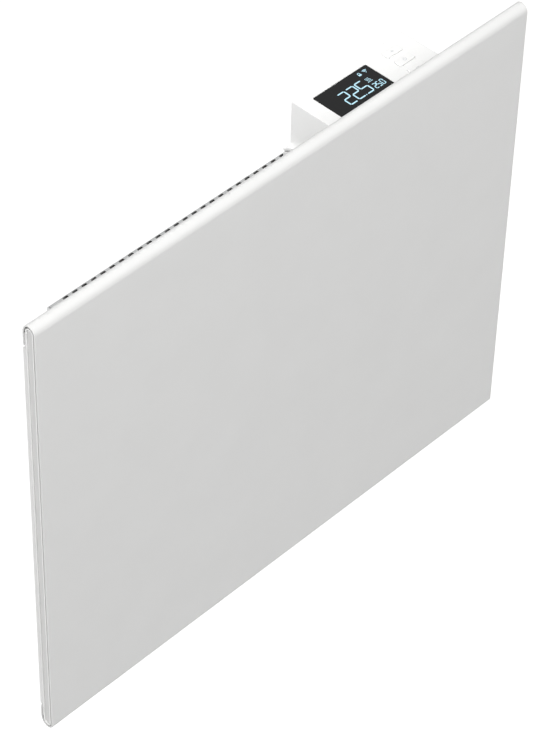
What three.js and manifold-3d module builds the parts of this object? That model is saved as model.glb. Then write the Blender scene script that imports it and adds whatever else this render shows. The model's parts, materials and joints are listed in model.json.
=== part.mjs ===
// Wall panel convector heater: a folded front panel, a slotted convection duct behind it, a control
// unit standing on the duct's right end, and the wall bracket that the heater hangs on.
// Millimetres, +Z up, the front faces -Y. The origin is on the wall, at the middle of the hanging rail.

import * as THREE from "three";
import { mergeVertices } from "three/addons/utils/BufferGeometryUtils.js";
import Module from "manifold-3d";

const wasm = await Module();
wasm.setup();

// ---------------------------------------------------------------------------------------------
// Driving dimensions. The heater's own pieces are drawn from the front panel's lower left corner:
// X to the right, Y from the front face towards the wall, Z up from the bottom edge.
// ---------------------------------------------------------------------------------------------

const GAP = 0.3; // clearance between pieces that touch

const PANEL_WIDTH = 475;
const PANEL_HEIGHT = 400;
const PANEL_DEPTH = 12;
const PANEL_SHEET = 1.2;
const PANEL_SWEEP = 8.5; // height of its folds behind; in front they are quarter-round
const WALL_TO_FRONT = 85; // front face to wall
const RAIL_HEIGHT = 265; // the rail's middle above the panel's bottom edge
const TOP_HEM_END = 380; // free edge of the return folded down behind the top bend
const BOTTOM_HEM_END = 19;

const CAP_FRONT = 2.0; // the inner pan and its end caps, inside the front panel
const CAP_REAR = 9.2;
const CAP_TOP = 397.4;
const CAP_BOTTOM = 2.6;
const CAP_INSET = 0.1;
const CAP_LENGTH = 4;
const CAP_RECESS = 0.8;
const CAP_RIM = 1.0;
const PAN_SHEET = 0.8;
const PAN_RETURN_ENDS = [34, 366];

const BACK_SHEET = 0.9; // the plate that closes the panel between its returns
const BACK_REAR = 12.5;
const BACK_TUCK = 9.6;
const BACK_TUCK_BOTTOM = 9; // how far its edges run in under the returns
const BACK_TUCK_TOP = 391;
const BACK_INSET = 0.4; // of its ends from the panel's

const DUCT_SHEET = 0.8;
const DUCT_LEFT = 67.5;
const DUCT_RIGHT = 410.2;
const DUCT_FRONT = 13.1;
const DUCT_REAR = 64.6;
const DUCT_BOTTOM = 45;
const DUCT_TOP = 332.6;
const DUCT_LIP = 14; // height of the lips that lap over the rear sheet
const DUCT_BEND = 1.0; // outer radius of its folds

const SLOT_PITCH = 8.66;
const SLOT_WIDTH = 4.6;
const SLOT_FIRST = 82.6;
const SLOT_CORNER = 0.8;
const TOP_SLOTS = 25;
const TOP_SLOT_FRONT = 23;
const TOP_SLOT_REAR = 63.5;
const BOTTOM_SLOTS = 16;
const BOTTOM_SLOT_WIDTH = 9;
const BOTTOM_SLOT_FRONT = 21;
const BOTTOM_SLOT_REAR = 56;

const ELEMENT = { x0: 92, x1: 386, y: 38, z: 104 };
const ROD_RADIUS = 4;

const UNIT = { x0: 297.6, x1: 410.2, y0: 13.9, y1: 61.6, z1: 378, wall: 2.0, roof: 2.4 };
const UNIT_CORNER = 0.8;
const UNIT_INNER_CORNER = 0.5;
const FOOT = { reach: 2.8, tip: 7.1, run: 4.6 }; // past the left wall: all along, and at the rear
const FLARE_HEIGHT = 8; // of the hollow sweep from the left wall down to the foot
const COLLAR_TOP = 339.7;
const COLLAR_SPLIT = 337.2; // the housing's lower edge, over a slit
const BASE_BOTTOM = DUCT_TOP + GAP;
const BASE_FLOOR = 334.5;
const BASE_TOP = 336.5;

const DISPLAY = { x0: 310.8, x1: 364.3, y0: 22.7, y1: 53.7 };
const BUTTON = { x0: 380.4, x1: 395.6, depth: 6.8, pitch: 12.2, middle: 37.8, proud: 0.8 };
const PRESS = 0.5; // how far a button goes down
const BOARD = { x0: 309.5, x1: 397.5, y0: 18, y1: 59, thick: 1.6 };
const DISPLAY_BOARD_Z = 362.4;
const POWER_BOARD_Z = 338;
const POWER_BOARD_X0 = 322; // leaves room on its left for the leads
const POST_X = [304.5, 402.5];
const POST_Y = [25, 53];

const GLAND = { x: 392, y: 38, bore: 4.2 };
const SENSOR = { x: 366, y: 38 };
const CUTOUT = { x: 300, z: 168 };

const RAIL = { length: 260, high: 36, sheet: 1.5, reach: 11, lipTop: -6 };
const UPRIGHT = { x: 105, width: 24, low: -190, lip: 24 };
const HANGER_X = 85;
const HANGER_WIDTH = 30;

// ---------------------------------------------------------------------------------------------
// Outlines and solids
// ---------------------------------------------------------------------------------------------

const AXES = {
  x: new THREE.Matrix4().makeBasis(vec(0, 1, 0), vec(0, 0, 1), vec(1, 0, 0)), // outline in Y, Z
  y: new THREE.Matrix4().makeBasis(vec(1, 0, 0), vec(0, 0, 1), vec(0, -1, 0)), // outline in X, Z
  z: new THREE.Matrix4(), // outline in X, Y
};

function vec(x, y, z) {
  return new THREE.Vector3(x, y, z);
}

// Points of an arc from angle a0 to a1, in degrees.
function arc(cx, cy, r, a0, a1, steps) {
  const points = [];
  for (let i = 0; i <= steps; i++) {
    const a = THREE.MathUtils.degToRad(a0 + ((a1 - a0) * i) / steps);
    points.push([cx + r * Math.cos(a), cy + r * Math.sin(a)]);
  }
  return points;
}

function circle(cx, cy, r, steps) {
  return arc(cx, cy, r, 0, 360 - 360 / steps, steps - 1);
}

// A rectangle with rounded corners: one radius, or four from the lower left, counter-clockwise.
function roundRect(x0, x1, y0, y1, radius, steps = 4) {
  const r = Array.isArray(radius) ? radius : [radius, radius, radius, radius];
  const corners = [
    [x0, y0, 1, 1, 180],
    [x1, y0, -1, 1, 270],
    [x1, y1, -1, -1, 0],
    [x0, y1, 1, -1, 90],
  ];
  return corners.flatMap(([x, y, sx, sy, a], i) =>
    r[i] > 0 ? arc(x + sx * r[i], y + sy * r[i], r[i], a, a + 90, steps) : [[x, y]],
  );
}

function solidOf(geometry) {
  const bare = geometry.clone();
  bare.deleteAttribute("normal");
  bare.deleteAttribute("uv");
  const merged = mergeVertices(bare, 1e-4);
  return new wasm.Manifold(
    new wasm.Mesh({
      numProp: 3,
      vertProperties: merged.attributes.position.array,
      triVerts: new Uint32Array(merged.index.array),
    }),
  );
}

// A straight bar of the given outline, along one axis between two places.
function bar(axis, outline, from, to) {
  const shape = new THREE.Shape(outline.map(([u, v]) => new THREE.Vector2(u, v)));
  const geometry = new THREE.ExtrudeGeometry(shape, { depth: to - from, bevelEnabled: false });
  geometry.translate(0, 0, axis === "y" ? -to : from);
  geometry.applyMatrix4(AXES[axis]);
  return solidOf(geometry);
}

function block(x0, x1, y0, y1, z0, z1) {
  const geometry = new THREE.BoxGeometry(x1 - x0, y1 - y0, z1 - z0);
  geometry.translate((x0 + x1) / 2, (y0 + y1) / 2, (z0 + z1) / 2);
  return solidOf(geometry);
}

// A turned piece: its profile is a list of [radius, height], and its axis points along dir.
function turned(profile, dir, at, steps = 16) {
  const outline = profile.map(([r, h]) => new THREE.Vector2(r, h));
  const geometry = new THREE.LatheGeometry(outline, steps);
  const turn = new THREE.Quaternion().setFromUnitVectors(vec(0, 1, 0), dir);
  geometry.applyQuaternion(turn);
  geometry.translate(at.x, at.y, at.z);
  return solidOf(geometry);
}

function span(a, b) {
  return [Math.min(a, b), Math.max(a, b)];
}

function join(...solids) {
  return solids.flat().reduce((sum, solid) => sum.add(solid));
}

function cut(solid, ...tools) {
  return tools.flat().reduce((left, tool) => left.subtract(tool), solid);
}

// ---------------------------------------------------------------------------------------------
// Finishes and meshes
// ---------------------------------------------------------------------------------------------

const FINISH = {
  whitePaint: { color: 0xf4f4f3, roughness: 0.5, metalness: 0 },
  greyCap: { color: 0xdededd, roughness: 0.6, metalness: 0 },
  zincSheet: { color: 0xb9bec2, roughness: 0.4, metalness: 0.8 },
  whitePlastic: { color: 0xf6f6f5, roughness: 0.45, metalness: 0 },
  blackGlass: { color: 0x141416, roughness: 0.08, metalness: 0 },
  blackPlastic: { color: 0x1d1e20, roughness: 0.5, metalness: 0 },
  aluminium: { color: 0xc4c8cb, roughness: 0.35, metalness: 0.9 },
  steel: { color: 0xa9adb0, roughness: 0.35, metalness: 0.9 },
  ceramic: { color: 0xe9e3d4, roughness: 0.6, metalness: 0 },
  greenBoard: { color: 0x1f5a3a, roughness: 0.5, metalness: 0 },
  relayBlue: { color: 0x2b5f9e, roughness: 0.5, metalness: 0 },
  rubber: { color: 0x26272a, roughness: 0.8, metalness: 0 },
  leadJacket: { color: 0x8c4a2a, roughness: 0.6, metalness: 0 },
};

function piece(group, name, solid, finish) {
  const { vertProperties, triVerts } = solid.getMesh();
  const geometry = new THREE.BufferGeometry();
  geometry.setAttribute("position", new THREE.BufferAttribute(new Float32Array(vertProperties), 3));
  geometry.setIndex(new THREE.BufferAttribute(new Uint32Array(triVerts), 1));
  const mesh = new THREE.Mesh(
    geometry,
    new THREE.MeshStandardMaterial({ ...FINISH[finish], flatShading: true }),
  );
  mesh.name = name;
  group.add(mesh);
}

// ---------------------------------------------------------------------------------------------
// Front panel assembly
// ---------------------------------------------------------------------------------------------

// A fold from its return to the front face, drawn in by inset: quarter-round in front and a sweep of
// its own height behind.
function fold(front, rear, edge, up, sweep, inset, steps) {
  const radius = (rear - front) / 2;
  return arc(0, 0, 1, 0, 180, steps).map(([u, v]) => {
    const height = u > 0 ? sweep : radius;
    return [(front + rear) / 2 + u * (radius - inset), edge - up * (height - v * (height - inset))];
  });
}

// A fold at the top and bottom, and a return behind each: the front panel's section.
function foldedSection(front, rear, bottom, top, sheet, lowEnd, highEnd, sweep, steps) {
  const high = (inset) => fold(front, rear, top, 1, sweep, inset, steps);
  const low = (inset) => fold(front, rear, bottom, -1, sweep, inset, steps);
  return [
    [rear, highEnd],
    ...high(0),
    ...low(0).reverse(),
    [rear, lowEnd],
    [rear - sheet, lowEnd],
    ...low(sheet),
    ...high(sheet).reverse(),
    [rear - sheet, highEnd],
  ];
}

function stadium(front, rear, bottom, top, steps) {
  const radius = (rear - front) / 2;
  const middle = (front + rear) / 2;
  return [
    ...arc(middle, top - radius, radius, 0, 180, steps),
    ...arc(middle, bottom + radius, radius, 180, 360, steps),
  ];
}

// An end cap: a rim that stands out round a recessed face.
function endCap(outerX, inward) {
  const outline = stadium(CAP_FRONT, CAP_REAR, CAP_BOTTOM, CAP_TOP, 8);
  const recess = stadium(
    CAP_FRONT + CAP_RIM,
    CAP_REAR - CAP_RIM,
    CAP_BOTTOM + CAP_RIM,
    CAP_TOP - CAP_RIM,
    8,
  );
  return cut(
    bar("x", outline, ...span(outerX, outerX + inward * CAP_LENGTH)),
    bar("x", recess, ...span(outerX - inward, outerX + inward * CAP_RECESS)),
  );
}

// The plate between the panel's returns: tucked in under them, stepped out level between them.
function backPlate() {
  const step = BACK_REAR - BACK_SHEET - BACK_TUCK;
  const low = BOTTOM_HEM_END + 1;
  const high = TOP_HEM_END - 1;
  const section = [
    [BACK_TUCK, BACK_TUCK_BOTTOM],
    [BACK_TUCK + BACK_SHEET, BACK_TUCK_BOTTOM],
    [BACK_TUCK + BACK_SHEET, low],
    [BACK_REAR, low + step],
    [BACK_REAR, high - step],
    [BACK_TUCK + BACK_SHEET, high],
    [BACK_TUCK + BACK_SHEET, BACK_TUCK_TOP],
    [BACK_TUCK, BACK_TUCK_TOP],
    [BACK_TUCK, high - BACK_SHEET / 2],
    [BACK_REAR - BACK_SHEET, high - step - BACK_SHEET / 2],
    [BACK_REAR - BACK_SHEET, low + step + BACK_SHEET / 2],
    [BACK_TUCK, low + BACK_SHEET / 2],
  ];
  const left = BACK_INSET;
  const right = PANEL_WIDTH - BACK_INSET;
  const fold = (x) => block(x, x + BACK_SHEET, BACK_TUCK, BACK_REAR - 0.2, low + step, high - step);
  return cut(
    join(bar("x", section, left, right), fold(left), fold(right - BACK_SHEET)),
    flangeScrewPlaces().map(([x, z]) => bar("y", circle(x, z, 2, 8), 9, 13)),
  );
}

function flangeScrewPlaces() {
  return [DUCT_LEFT - 5, DUCT_RIGHT + 5].flatMap((x) => [110, 268].map((z) => [x, z]));
}

function addPanel(group) {
  const panel = foldedSection(
    0,
    PANEL_DEPTH,
    0,
    PANEL_HEIGHT,
    PANEL_SHEET,
    BOTTOM_HEM_END,
    TOP_HEM_END,
    PANEL_SWEEP,
    14,
  );
  piece(group, "front_panel", bar("x", panel, 0, PANEL_WIDTH), "whitePaint");

  const end = CAP_INSET + CAP_LENGTH + GAP;
  const pan = foldedSection(
    CAP_FRONT,
    CAP_REAR,
    CAP_BOTTOM,
    CAP_TOP,
    PAN_SHEET,
    PAN_RETURN_ENDS[0],
    PAN_RETURN_ENDS[1],
    (CAP_REAR - CAP_FRONT) / 2,
    8,
  );
  piece(group, "inner_pan", bar("x", pan, end, PANEL_WIDTH - end), "zincSheet");
  piece(group, "end_cap_left", endCap(CAP_INSET, 1), "greyCap");
  piece(group, "end_cap_right", endCap(PANEL_WIDTH - CAP_INSET, -1), "greyCap");
  piece(group, "back_plate", backPlate(), "whitePaint");
}

// ---------------------------------------------------------------------------------------------
// Convection duct
// ---------------------------------------------------------------------------------------------

// A flat strip with a lip folded down (or, upside down, up) along its rear edge.
function ductFold(edge, lipEnd) {
  const up = Math.sign(edge - lipEnd);
  const inner = edge - up * DUCT_SHEET;
  const bend = arc(DUCT_REAR - DUCT_BEND, edge - up * DUCT_BEND, DUCT_BEND, 90 * up, 0, 4);
  const inside = arc(
    DUCT_REAR - DUCT_BEND,
    edge - up * DUCT_BEND,
    DUCT_BEND - DUCT_SHEET,
    0,
    90 * up,
    4,
  );
  return [
    [DUCT_FRONT, inner],
    [DUCT_FRONT, edge],
    ...bend,
    [DUCT_REAR, lipEnd],
    [DUCT_REAR - DUCT_SHEET, lipEnd],
    ...inside,
  ];
}

function slots(count, pitch, width, y0, y1, z) {
  return Array.from({ length: count }, (_, i) => {
    const x = SLOT_FIRST + i * pitch;
    return bar("z", roundRect(x - width / 2, x + width / 2, y0, y1, SLOT_CORNER, 3), z - 3, z + 3);
  });
}

function ductTop() {
  const sheet = bar(
    "x",
    ductFold(DUCT_TOP, DUCT_TOP - DUCT_LIP),
    DUCT_LEFT + DUCT_SHEET + GAP,
    DUCT_RIGHT - DUCT_SHEET - GAP,
  );
  return cut(
    sheet,
    slots(TOP_SLOTS, SLOT_PITCH, SLOT_WIDTH, TOP_SLOT_FRONT, TOP_SLOT_REAR, DUCT_TOP),
    leadOpening(),
    unitScrewPlaces().map(([x, y]) => bar("z", circle(x, y, 1.9, 8), DUCT_TOP - 3, DUCT_TOP + 3)),
  );
}

// Where the leads pass from the control unit down into the duct.
function leadOpening() {
  return bar("z", roundRect(311, 321, 27, 51, 2), DUCT_TOP - 3, BASE_TOP + 1);
}

function unitScrewPlaces() {
  return POST_X.flatMap((x) => POST_Y.map((y) => [x, y]));
}

function ductBottom() {
  const sheet = bar(
    "x",
    ductFold(DUCT_BOTTOM, DUCT_BOTTOM + DUCT_LIP),
    DUCT_LEFT + DUCT_SHEET + GAP,
    DUCT_RIGHT - DUCT_SHEET - GAP,
  );
  const inlets = slots(
    BOTTOM_SLOTS,
    2 * SLOT_PITCH,
    BOTTOM_SLOT_WIDTH,
    BOTTOM_SLOT_FRONT,
    BOTTOM_SLOT_REAR,
    DUCT_BOTTOM,
  );
  const through = (place, r) => bar("z", circle(place.x, place.y, r, 16), DUCT_BOTTOM - 3, DUCT_BOTTOM + 3);
  return cut(sheet, inlets, through(GLAND, 8.3), through(SENSOR, 4.3));
}

const BACK_SHEET_REAR = DUCT_REAR - DUCT_SHEET - GAP;

function hangerRivetPlaces() {
  const middle = PANEL_WIDTH / 2;
  return [middle - HANGER_X, middle + HANGER_X].flatMap((x) => [x - 8, x + 8]).map((x) => [x, 243]);
}

function ductRear() {
  const sheet = block(
    DUCT_LEFT + DUCT_SHEET + GAP,
    DUCT_RIGHT - DUCT_SHEET - GAP,
    BACK_SHEET_REAR - DUCT_SHEET,
    BACK_SHEET_REAR,
    DUCT_BOTTOM + DUCT_BEND + 1,
    DUCT_TOP - DUCT_BEND - 1,
  );
  const holes = hangerRivetPlaces().map(([x, z]) => bar("y", circle(x, z, 2.5, 10), 60, 66));
  return cut(sheet, holes);
}

// A side of the duct, with a flange turned outwards along the panel's back.
function ductEnd(side, outerX) {
  const innerX = outerX - side * DUCT_SHEET;
  const flangeX = outerX + side * 10;
  const wall = roundRect(DUCT_FRONT, DUCT_REAR, DUCT_BOTTOM, DUCT_TOP, [0, DUCT_BEND, DUCT_BEND, 0]);
  const flange = block(
    ...span(innerX, flangeX),
    DUCT_FRONT,
    DUCT_FRONT + DUCT_SHEET,
    DUCT_BOTTOM + 15,
    DUCT_TOP - 15,
  );
  const holes = flangeScrewPlaces().map(([x, z]) => bar("y", circle(x, z, 2, 8), 10, 16));
  return cut(join(bar("x", wall, ...span(innerX, outerX)), flange), holes);
}

// A pan-head screw: dir points from its head to its tip.
function panScrew(at, dir, headRadius, headHeight, shankRadius, length) {
  const profile = [
    [0, -headHeight],
    [headRadius * 0.7, -headHeight],
    [headRadius, -headHeight * 0.55],
    [headRadius, 0],
    [shankRadius, 0],
    [shankRadius, length - shankRadius],
    [shankRadius * 0.4, length],
    [0, length],
  ];
  return turned(profile, dir, at, 10);
}

function rivet(x, z) {
  const profile = [
    [0, -1.4],
    [2.6, -1.2],
    [3.6, 0],
    [2, 0],
    [2, 3.2],
    [3.2, 3.2],
    [2.6, 4.4],
    [0, 4.4],
  ];
  return turned(profile, vec(0, 1, 0), vec(x, BACK_SHEET_REAR - DUCT_SHEET - GAP, z), 10);
}

function addDuct(group) {
  piece(group, "duct_top_grille", ductTop(), "whitePaint");
  piece(group, "duct_bottom_grille", ductBottom(), "whitePaint");
  piece(group, "duct_rear_sheet", ductRear(), "whitePaint");
  piece(group, "duct_end_left", ductEnd(-1, DUCT_LEFT), "whitePaint");
  piece(group, "duct_end_right", ductEnd(1, DUCT_RIGHT), "whitePaint");
  flangeScrewPlaces().forEach(([x, z], i) => {
    const at = vec(x, DUCT_FRONT + DUCT_SHEET + GAP, z);
    piece(group, `duct_screw_${i + 1}`, panScrew(at, vec(0, -1, 0), 3.6, 2.2, 1.6, 5), "steel");
  });
  const middle = PANEL_WIDTH / 2;
  piece(group, "hanger_left", hanger(middle - HANGER_X), "zincSheet");
  piece(group, "hanger_right", hanger(middle + HANGER_X), "zincSheet");
  hangerRivetPlaces().forEach(([x, z], i) => {
    piece(group, `hanger_rivet_${i + 1}`, rivet(x, z), "aluminium");
  });
}

// A hook on the duct's rear sheet, which drops behind the rail's lip.
function hanger(x) {
  const sheet = RAIL.sheet;
  const front = BACK_SHEET_REAR + GAP;
  const rear = WALL_TO_FRONT - 4.5;
  const seat = RAIL_HEIGHT + RAIL.lipTop + GAP;
  const section = [
    [front, seat - 24],
    [front + sheet, seat - 24],
    [front + sheet, seat],
    [rear - sheet, seat],
    [rear - sheet, seat - 8],
    [rear, seat - 8],
    [rear, seat + sheet],
    [front, seat + sheet],
  ];
  const holes = hangerRivetPlaces().map(([hx, hz]) => bar("y", circle(hx, hz, 2.5, 10), 60, 70));
  return cut(bar("x", section, x - HANGER_WIDTH / 2, x + HANGER_WIDTH / 2), holes);
}

// ---------------------------------------------------------------------------------------------
// Heating element and what guards and feeds it
// ---------------------------------------------------------------------------------------------

// A boss with four pairs of swept wings, and short ribs above and below.
function elementSection() {
  const wing = [
    [6.2, 3.0],
    [12, 9.2],
    [18.6, 17.5],
    [20.4, 17.5],
    [14.0, 8.4],
    [19.8, 8.0],
    [19.8, 6.4],
    [12.6, 6.6],
    [7.0, 1.6],
  ];
  const mirrored = (sy, sz) => wing.map(([y, z]) => [ELEMENT.y + sy * y, ELEMENT.z + sz * z]);
  return [
    ...mirrored(1, -1),
    ...mirrored(1, 1).reverse(),
    [ELEMENT.y + 0.8, ELEMENT.z + 7],
    [ELEMENT.y + 0.8, ELEMENT.z + 17],
    [ELEMENT.y - 0.8, ELEMENT.z + 17],
    [ELEMENT.y - 0.8, ELEMENT.z + 7],
    ...mirrored(-1, 1),
    ...mirrored(-1, -1).reverse(),
    [ELEMENT.y - 0.8, ELEMENT.z - 7],
    [ELEMENT.y - 0.8, ELEMENT.z - 17],
    [ELEMENT.y + 0.8, ELEMENT.z - 17],
    [ELEMENT.y + 0.8, ELEMENT.z - 7],
  ];
}

function elementBody() {
  const bore = bar("x", circle(ELEMENT.y, ELEMENT.z, ROD_RADIUS + GAP, 16), ELEMENT.x0 - 1, ELEMENT.x1 + 1);
  return cut(bar("x", elementSection(), ELEMENT.x0, ELEMENT.x1), bore);
}

// The sheathed rod, with a thinner terminal pin at each end.
function elementRod() {
  const start = ELEMENT.x0 - 14;
  const length = ELEMENT.x1 + 14 - start;
  const profile = [
    [0, -7],
    [1.2, -7],
    [1.2, 0],
    [ROD_RADIUS, 0],
    [ROD_RADIUS, length],
    [1.2, length],
    [1.2, length + 7],
    [0, length + 7],
  ];
  return turned(profile, vec(1, 0, 0), vec(start, ELEMENT.y, ELEMENT.z), 16);
}

// A ceramic bush that carries the rod in its bracket.
function elementBush(x, side) {
  const bore = ROD_RADIUS + GAP;
  const profile = [
    [bore, -1.5],
    [8, -1.5],
    [8, 0],
    [6.2, 0],
    [6.2, 3],
    [bore, 3],
    [bore, -1.5],
  ];
  return turned(profile, vec(side, 0, 0), vec(x, ELEMENT.y, ELEMENT.z), 16);
}

// A stepped strip from the duct's end to the bush.
function elementBracket(side, wallX, plateX) {
  const sheet = 1;
  const foot = ELEMENT.z + 26;
  const section = [
    [wallX, foot],
    [wallX, foot + 14],
    [wallX - side * sheet, foot + 14],
    [wallX - side * sheet, foot + sheet],
    [plateX - side * sheet, foot + sheet],
    [plateX - side * sheet, ELEMENT.z - 12],
    [plateX, ELEMENT.z - 12],
    [plateX, foot],
  ];
  const hole = bar("x", circle(ELEMENT.y, ELEMENT.z, 6.5, 16), plateX - 5, plateX + 5);
  return cut(bar("y", section, ELEMENT.y - 13, ELEMENT.y + 13), hole);
}

// A snap-disc cut-out: a can on a flange, with two blade terminals.
function overheatCutout() {
  const rear = BACK_SHEET_REAR - DUCT_SHEET - GAP;
  const profile = [
    [0, 0],
    [9, 0],
    [9, 4],
    [7.5, 4.5],
    [7.5, 11],
    [0, 11],
  ];
  const can = turned(profile, vec(0, -1, 0), vec(CUTOUT.x, rear, CUTOUT.z), 18);
  const flange = roundRect(CUTOUT.x - 15, CUTOUT.x + 15, CUTOUT.z - 4, CUTOUT.z + 4, 4);
  const ears = bar("y", flange, rear - 0.8, rear);
  const blade = (dx) =>
    block(CUTOUT.x + dx - 3, CUTOUT.x + dx + 3, rear - 18, rear - 10.5, CUTOUT.z - 0.4, CUTOUT.z + 0.4);
  return join(can, ears, blade(-4), blade(4));
}

// A round flexible lead through hand-set points, straight at both ends.
function lead(points, radius) {
  const curve = new THREE.CatmullRomCurve3(points, false, "centripetal");
  const section = new THREE.Shape(circle(0, 0, radius, 6).map(([u, v]) => new THREE.Vector2(u, v)));
  const geometry = new THREE.ExtrudeGeometry(section, { steps: 5 * points.length, extrudePath: curve });
  return solidOf(geometry);
}

function addLeads(group) {
  const leftTerminal = ELEMENT.x0 - 14 - 7;
  const rightTerminal = ELEMENT.x1 + 14 + 7;
  const rear = BACK_SHEET_REAR - DUCT_SHEET - GAP;
  const entry = [vec(323.4, 44, 347), vec(318, 44, 346), vec(316, 44, 341), vec(316, 44, 330)];
  const toLeft = [
    ...entry,
    vec(310, 46, 322),
    vec(290, 50, 318),
    vec(200, 54, 315),
    vec(100, 50, 312),
    vec(78, 52, 300),
    vec(leftTerminal + 2, 56, 240),
    vec(leftTerminal + 1, 56, 130),
    vec(leftTerminal + 1, 50, ELEMENT.z + 17),
    vec(leftTerminal + 1, 41, ELEMENT.z + 11),
    vec(leftTerminal + 1, ELEMENT.y, ELEMENT.z + 6),
    vec(leftTerminal + 1, ELEMENT.y, ELEMENT.z + 1.2 + GAP),
  ];
  const entryRight = entry.map((p) => vec(p.x, 34, p.z));
  const toCutout = [
    ...entryRight,
    vec(316, 34, 300),
    vec(310, 34, 230),
    vec(302, 34, 196),
    vec(CUTOUT.x + 3, 35, 180),
    vec(CUTOUT.x + 4, 38, 170),
    vec(CUTOUT.x + 4, rear - 19.5, CUTOUT.z),
    vec(CUTOUT.x + 4, rear - 18 - GAP, CUTOUT.z),
  ];
  const toRight = [
    vec(CUTOUT.x - 4, rear - 18 - GAP, CUTOUT.z),
    vec(CUTOUT.x - 4, rear - 19.5, CUTOUT.z),
    vec(CUTOUT.x - 4, rear - 23, CUTOUT.z - 2),
    vec(CUTOUT.x - 2, 37, CUTOUT.z - 10),
    vec(320, 40, 150),
    vec(370, 50, 150),
    vec(398, 56, 148),
    vec(rightTerminal - 1, 56, 130),
    vec(rightTerminal - 1, 50, ELEMENT.z + 17),
    vec(rightTerminal - 1, 41, ELEMENT.z + 11),
    vec(rightTerminal - 1, ELEMENT.y, ELEMENT.z + 6),
    vec(rightTerminal - 1, ELEMENT.y, ELEMENT.z + 1.2 + GAP),
  ];
  piece(group, "lead_to_element", lead(toLeft, 1.3), "leadJacket");
  piece(group, "lead_to_cutout", lead(toCutout, 1.3), "leadJacket");
  piece(group, "lead_cutout_to_element", lead(toRight, 1.3), "leadJacket");
}

function addHeating(group) {
  const leftPlate = ELEMENT.x0 - 8;
  const rightPlate = ELEMENT.x1 + 8;
  const leftWall = DUCT_LEFT + DUCT_SHEET + GAP;
  const rightWall = DUCT_RIGHT - DUCT_SHEET - GAP;
  piece(group, "heating_element", elementBody(), "aluminium");
  piece(group, "element_rod", elementRod(), "steel");
  piece(group, "element_bracket_left", elementBracket(-1, leftWall, leftPlate), "zincSheet");
  piece(group, "element_bracket_right", elementBracket(1, rightWall, rightPlate), "zincSheet");
  piece(group, "element_bush_left", elementBush(leftPlate + 1 + GAP, -1), "ceramic");
  piece(group, "element_bush_right", elementBush(rightPlate - 1 - GAP, 1), "ceramic");
  piece(group, "overheat_cutout", overheatCutout(), "steel");
  addLeads(group);
}

// A flanged bush in the duct's floor where the mains lead enters, and its ring nut inside.
function addGland(group) {
  const bush = [
    [GLAND.bore, -9],
    [6.5, -9],
    [8, -7],
    [10.5, -3],
    [10.5, -GAP],
    [8, -GAP],
    [8, 9],
    [GLAND.bore, 9],
    [GLAND.bore, -9],
  ];
  const floor = vec(GLAND.x, GLAND.y, DUCT_BOTTOM);
  const nutBottom = DUCT_BOTTOM + DUCT_SHEET + GAP;
  const nut = bar("z", circle(GLAND.x, GLAND.y, 12, 6), nutBottom, nutBottom + 4);
  const nutBore = bar("z", circle(GLAND.x, GLAND.y, 8 + 1.5 * GAP, 16), nutBottom - 1, nutBottom + 5);
  piece(group, "cable_gland", turned(bush, vec(0, 0, 1), floor, 16), "blackPlastic");
  piece(group, "gland_nut", cut(nut, nutBore), "blackPlastic");

  const bead = [
    [0, -6],
    [2.2, -5.2],
    [3.2, -3],
    [3.8, -GAP - 2],
    [6, -GAP - 2],
    [6, -GAP],
    [4, -GAP],
    [4, 6],
    [0, 6],
  ];
  const place = vec(SENSOR.x, SENSOR.y, DUCT_BOTTOM);
  piece(group, "room_sensor", turned(bead, vec(0, 0, 1), place, 12), "whitePlastic");
}

// ---------------------------------------------------------------------------------------------
// Control unit
// ---------------------------------------------------------------------------------------------

function unitCavity(from, to) {
  const { x0, x1, y0, y1, wall } = UNIT;
  const plan = roundRect(x0 + wall, x1 - wall, y0 + wall, y1 - wall, UNIT_INNER_CORNER, 5);
  return bar("z", plan, from, to);
}

// The foot seen from above: the unit's outline, and on the left a ledge that widens to the rear.
function footPlan() {
  const { x0, x1, y0, y1 } = UNIT;
  return [
    [x0 - FOOT.reach, y0],
    ...arc(x1 - UNIT_CORNER, y0 + UNIT_CORNER, UNIT_CORNER, -90, 0, 4),
    ...arc(x1 - UNIT_CORNER, y1 - UNIT_CORNER, UNIT_CORNER, 0, 90, 4),
    [x0 - FOOT.tip, y1],
    [x0 - FOOT.reach, y1 - FOOT.run],
  ];
}

// The housing seen from the front: straight walls, and on the left a flare down to its foot.
function unitSection() {
  const { x0, x1, z1 } = UNIT;
  const flare = arc(0, 0, 1, 0, -90, 8).map(([u, v]) => [
    x0 - FOOT.reach * (1 - u),
    COLLAR_TOP + FLARE_HEIGHT * (1 + v),
  ]);
  return [
    [x0 - FOOT.tip, COLLAR_SPLIT],
    [x1, COLLAR_SPLIT],
    [x1, z1 - UNIT_CORNER],
    [x1 - UNIT_CORNER, z1],
    [x0 + UNIT_INNER_CORNER, z1],
    [x0, z1 - UNIT_INNER_CORNER],
    ...flare,
    [x0 - FOOT.tip, COLLAR_TOP],
  ];
}

function buttonMiddles() {
  return [1, 0, -1].map((row) => BUTTON.middle + row * BUTTON.pitch);
}

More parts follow.
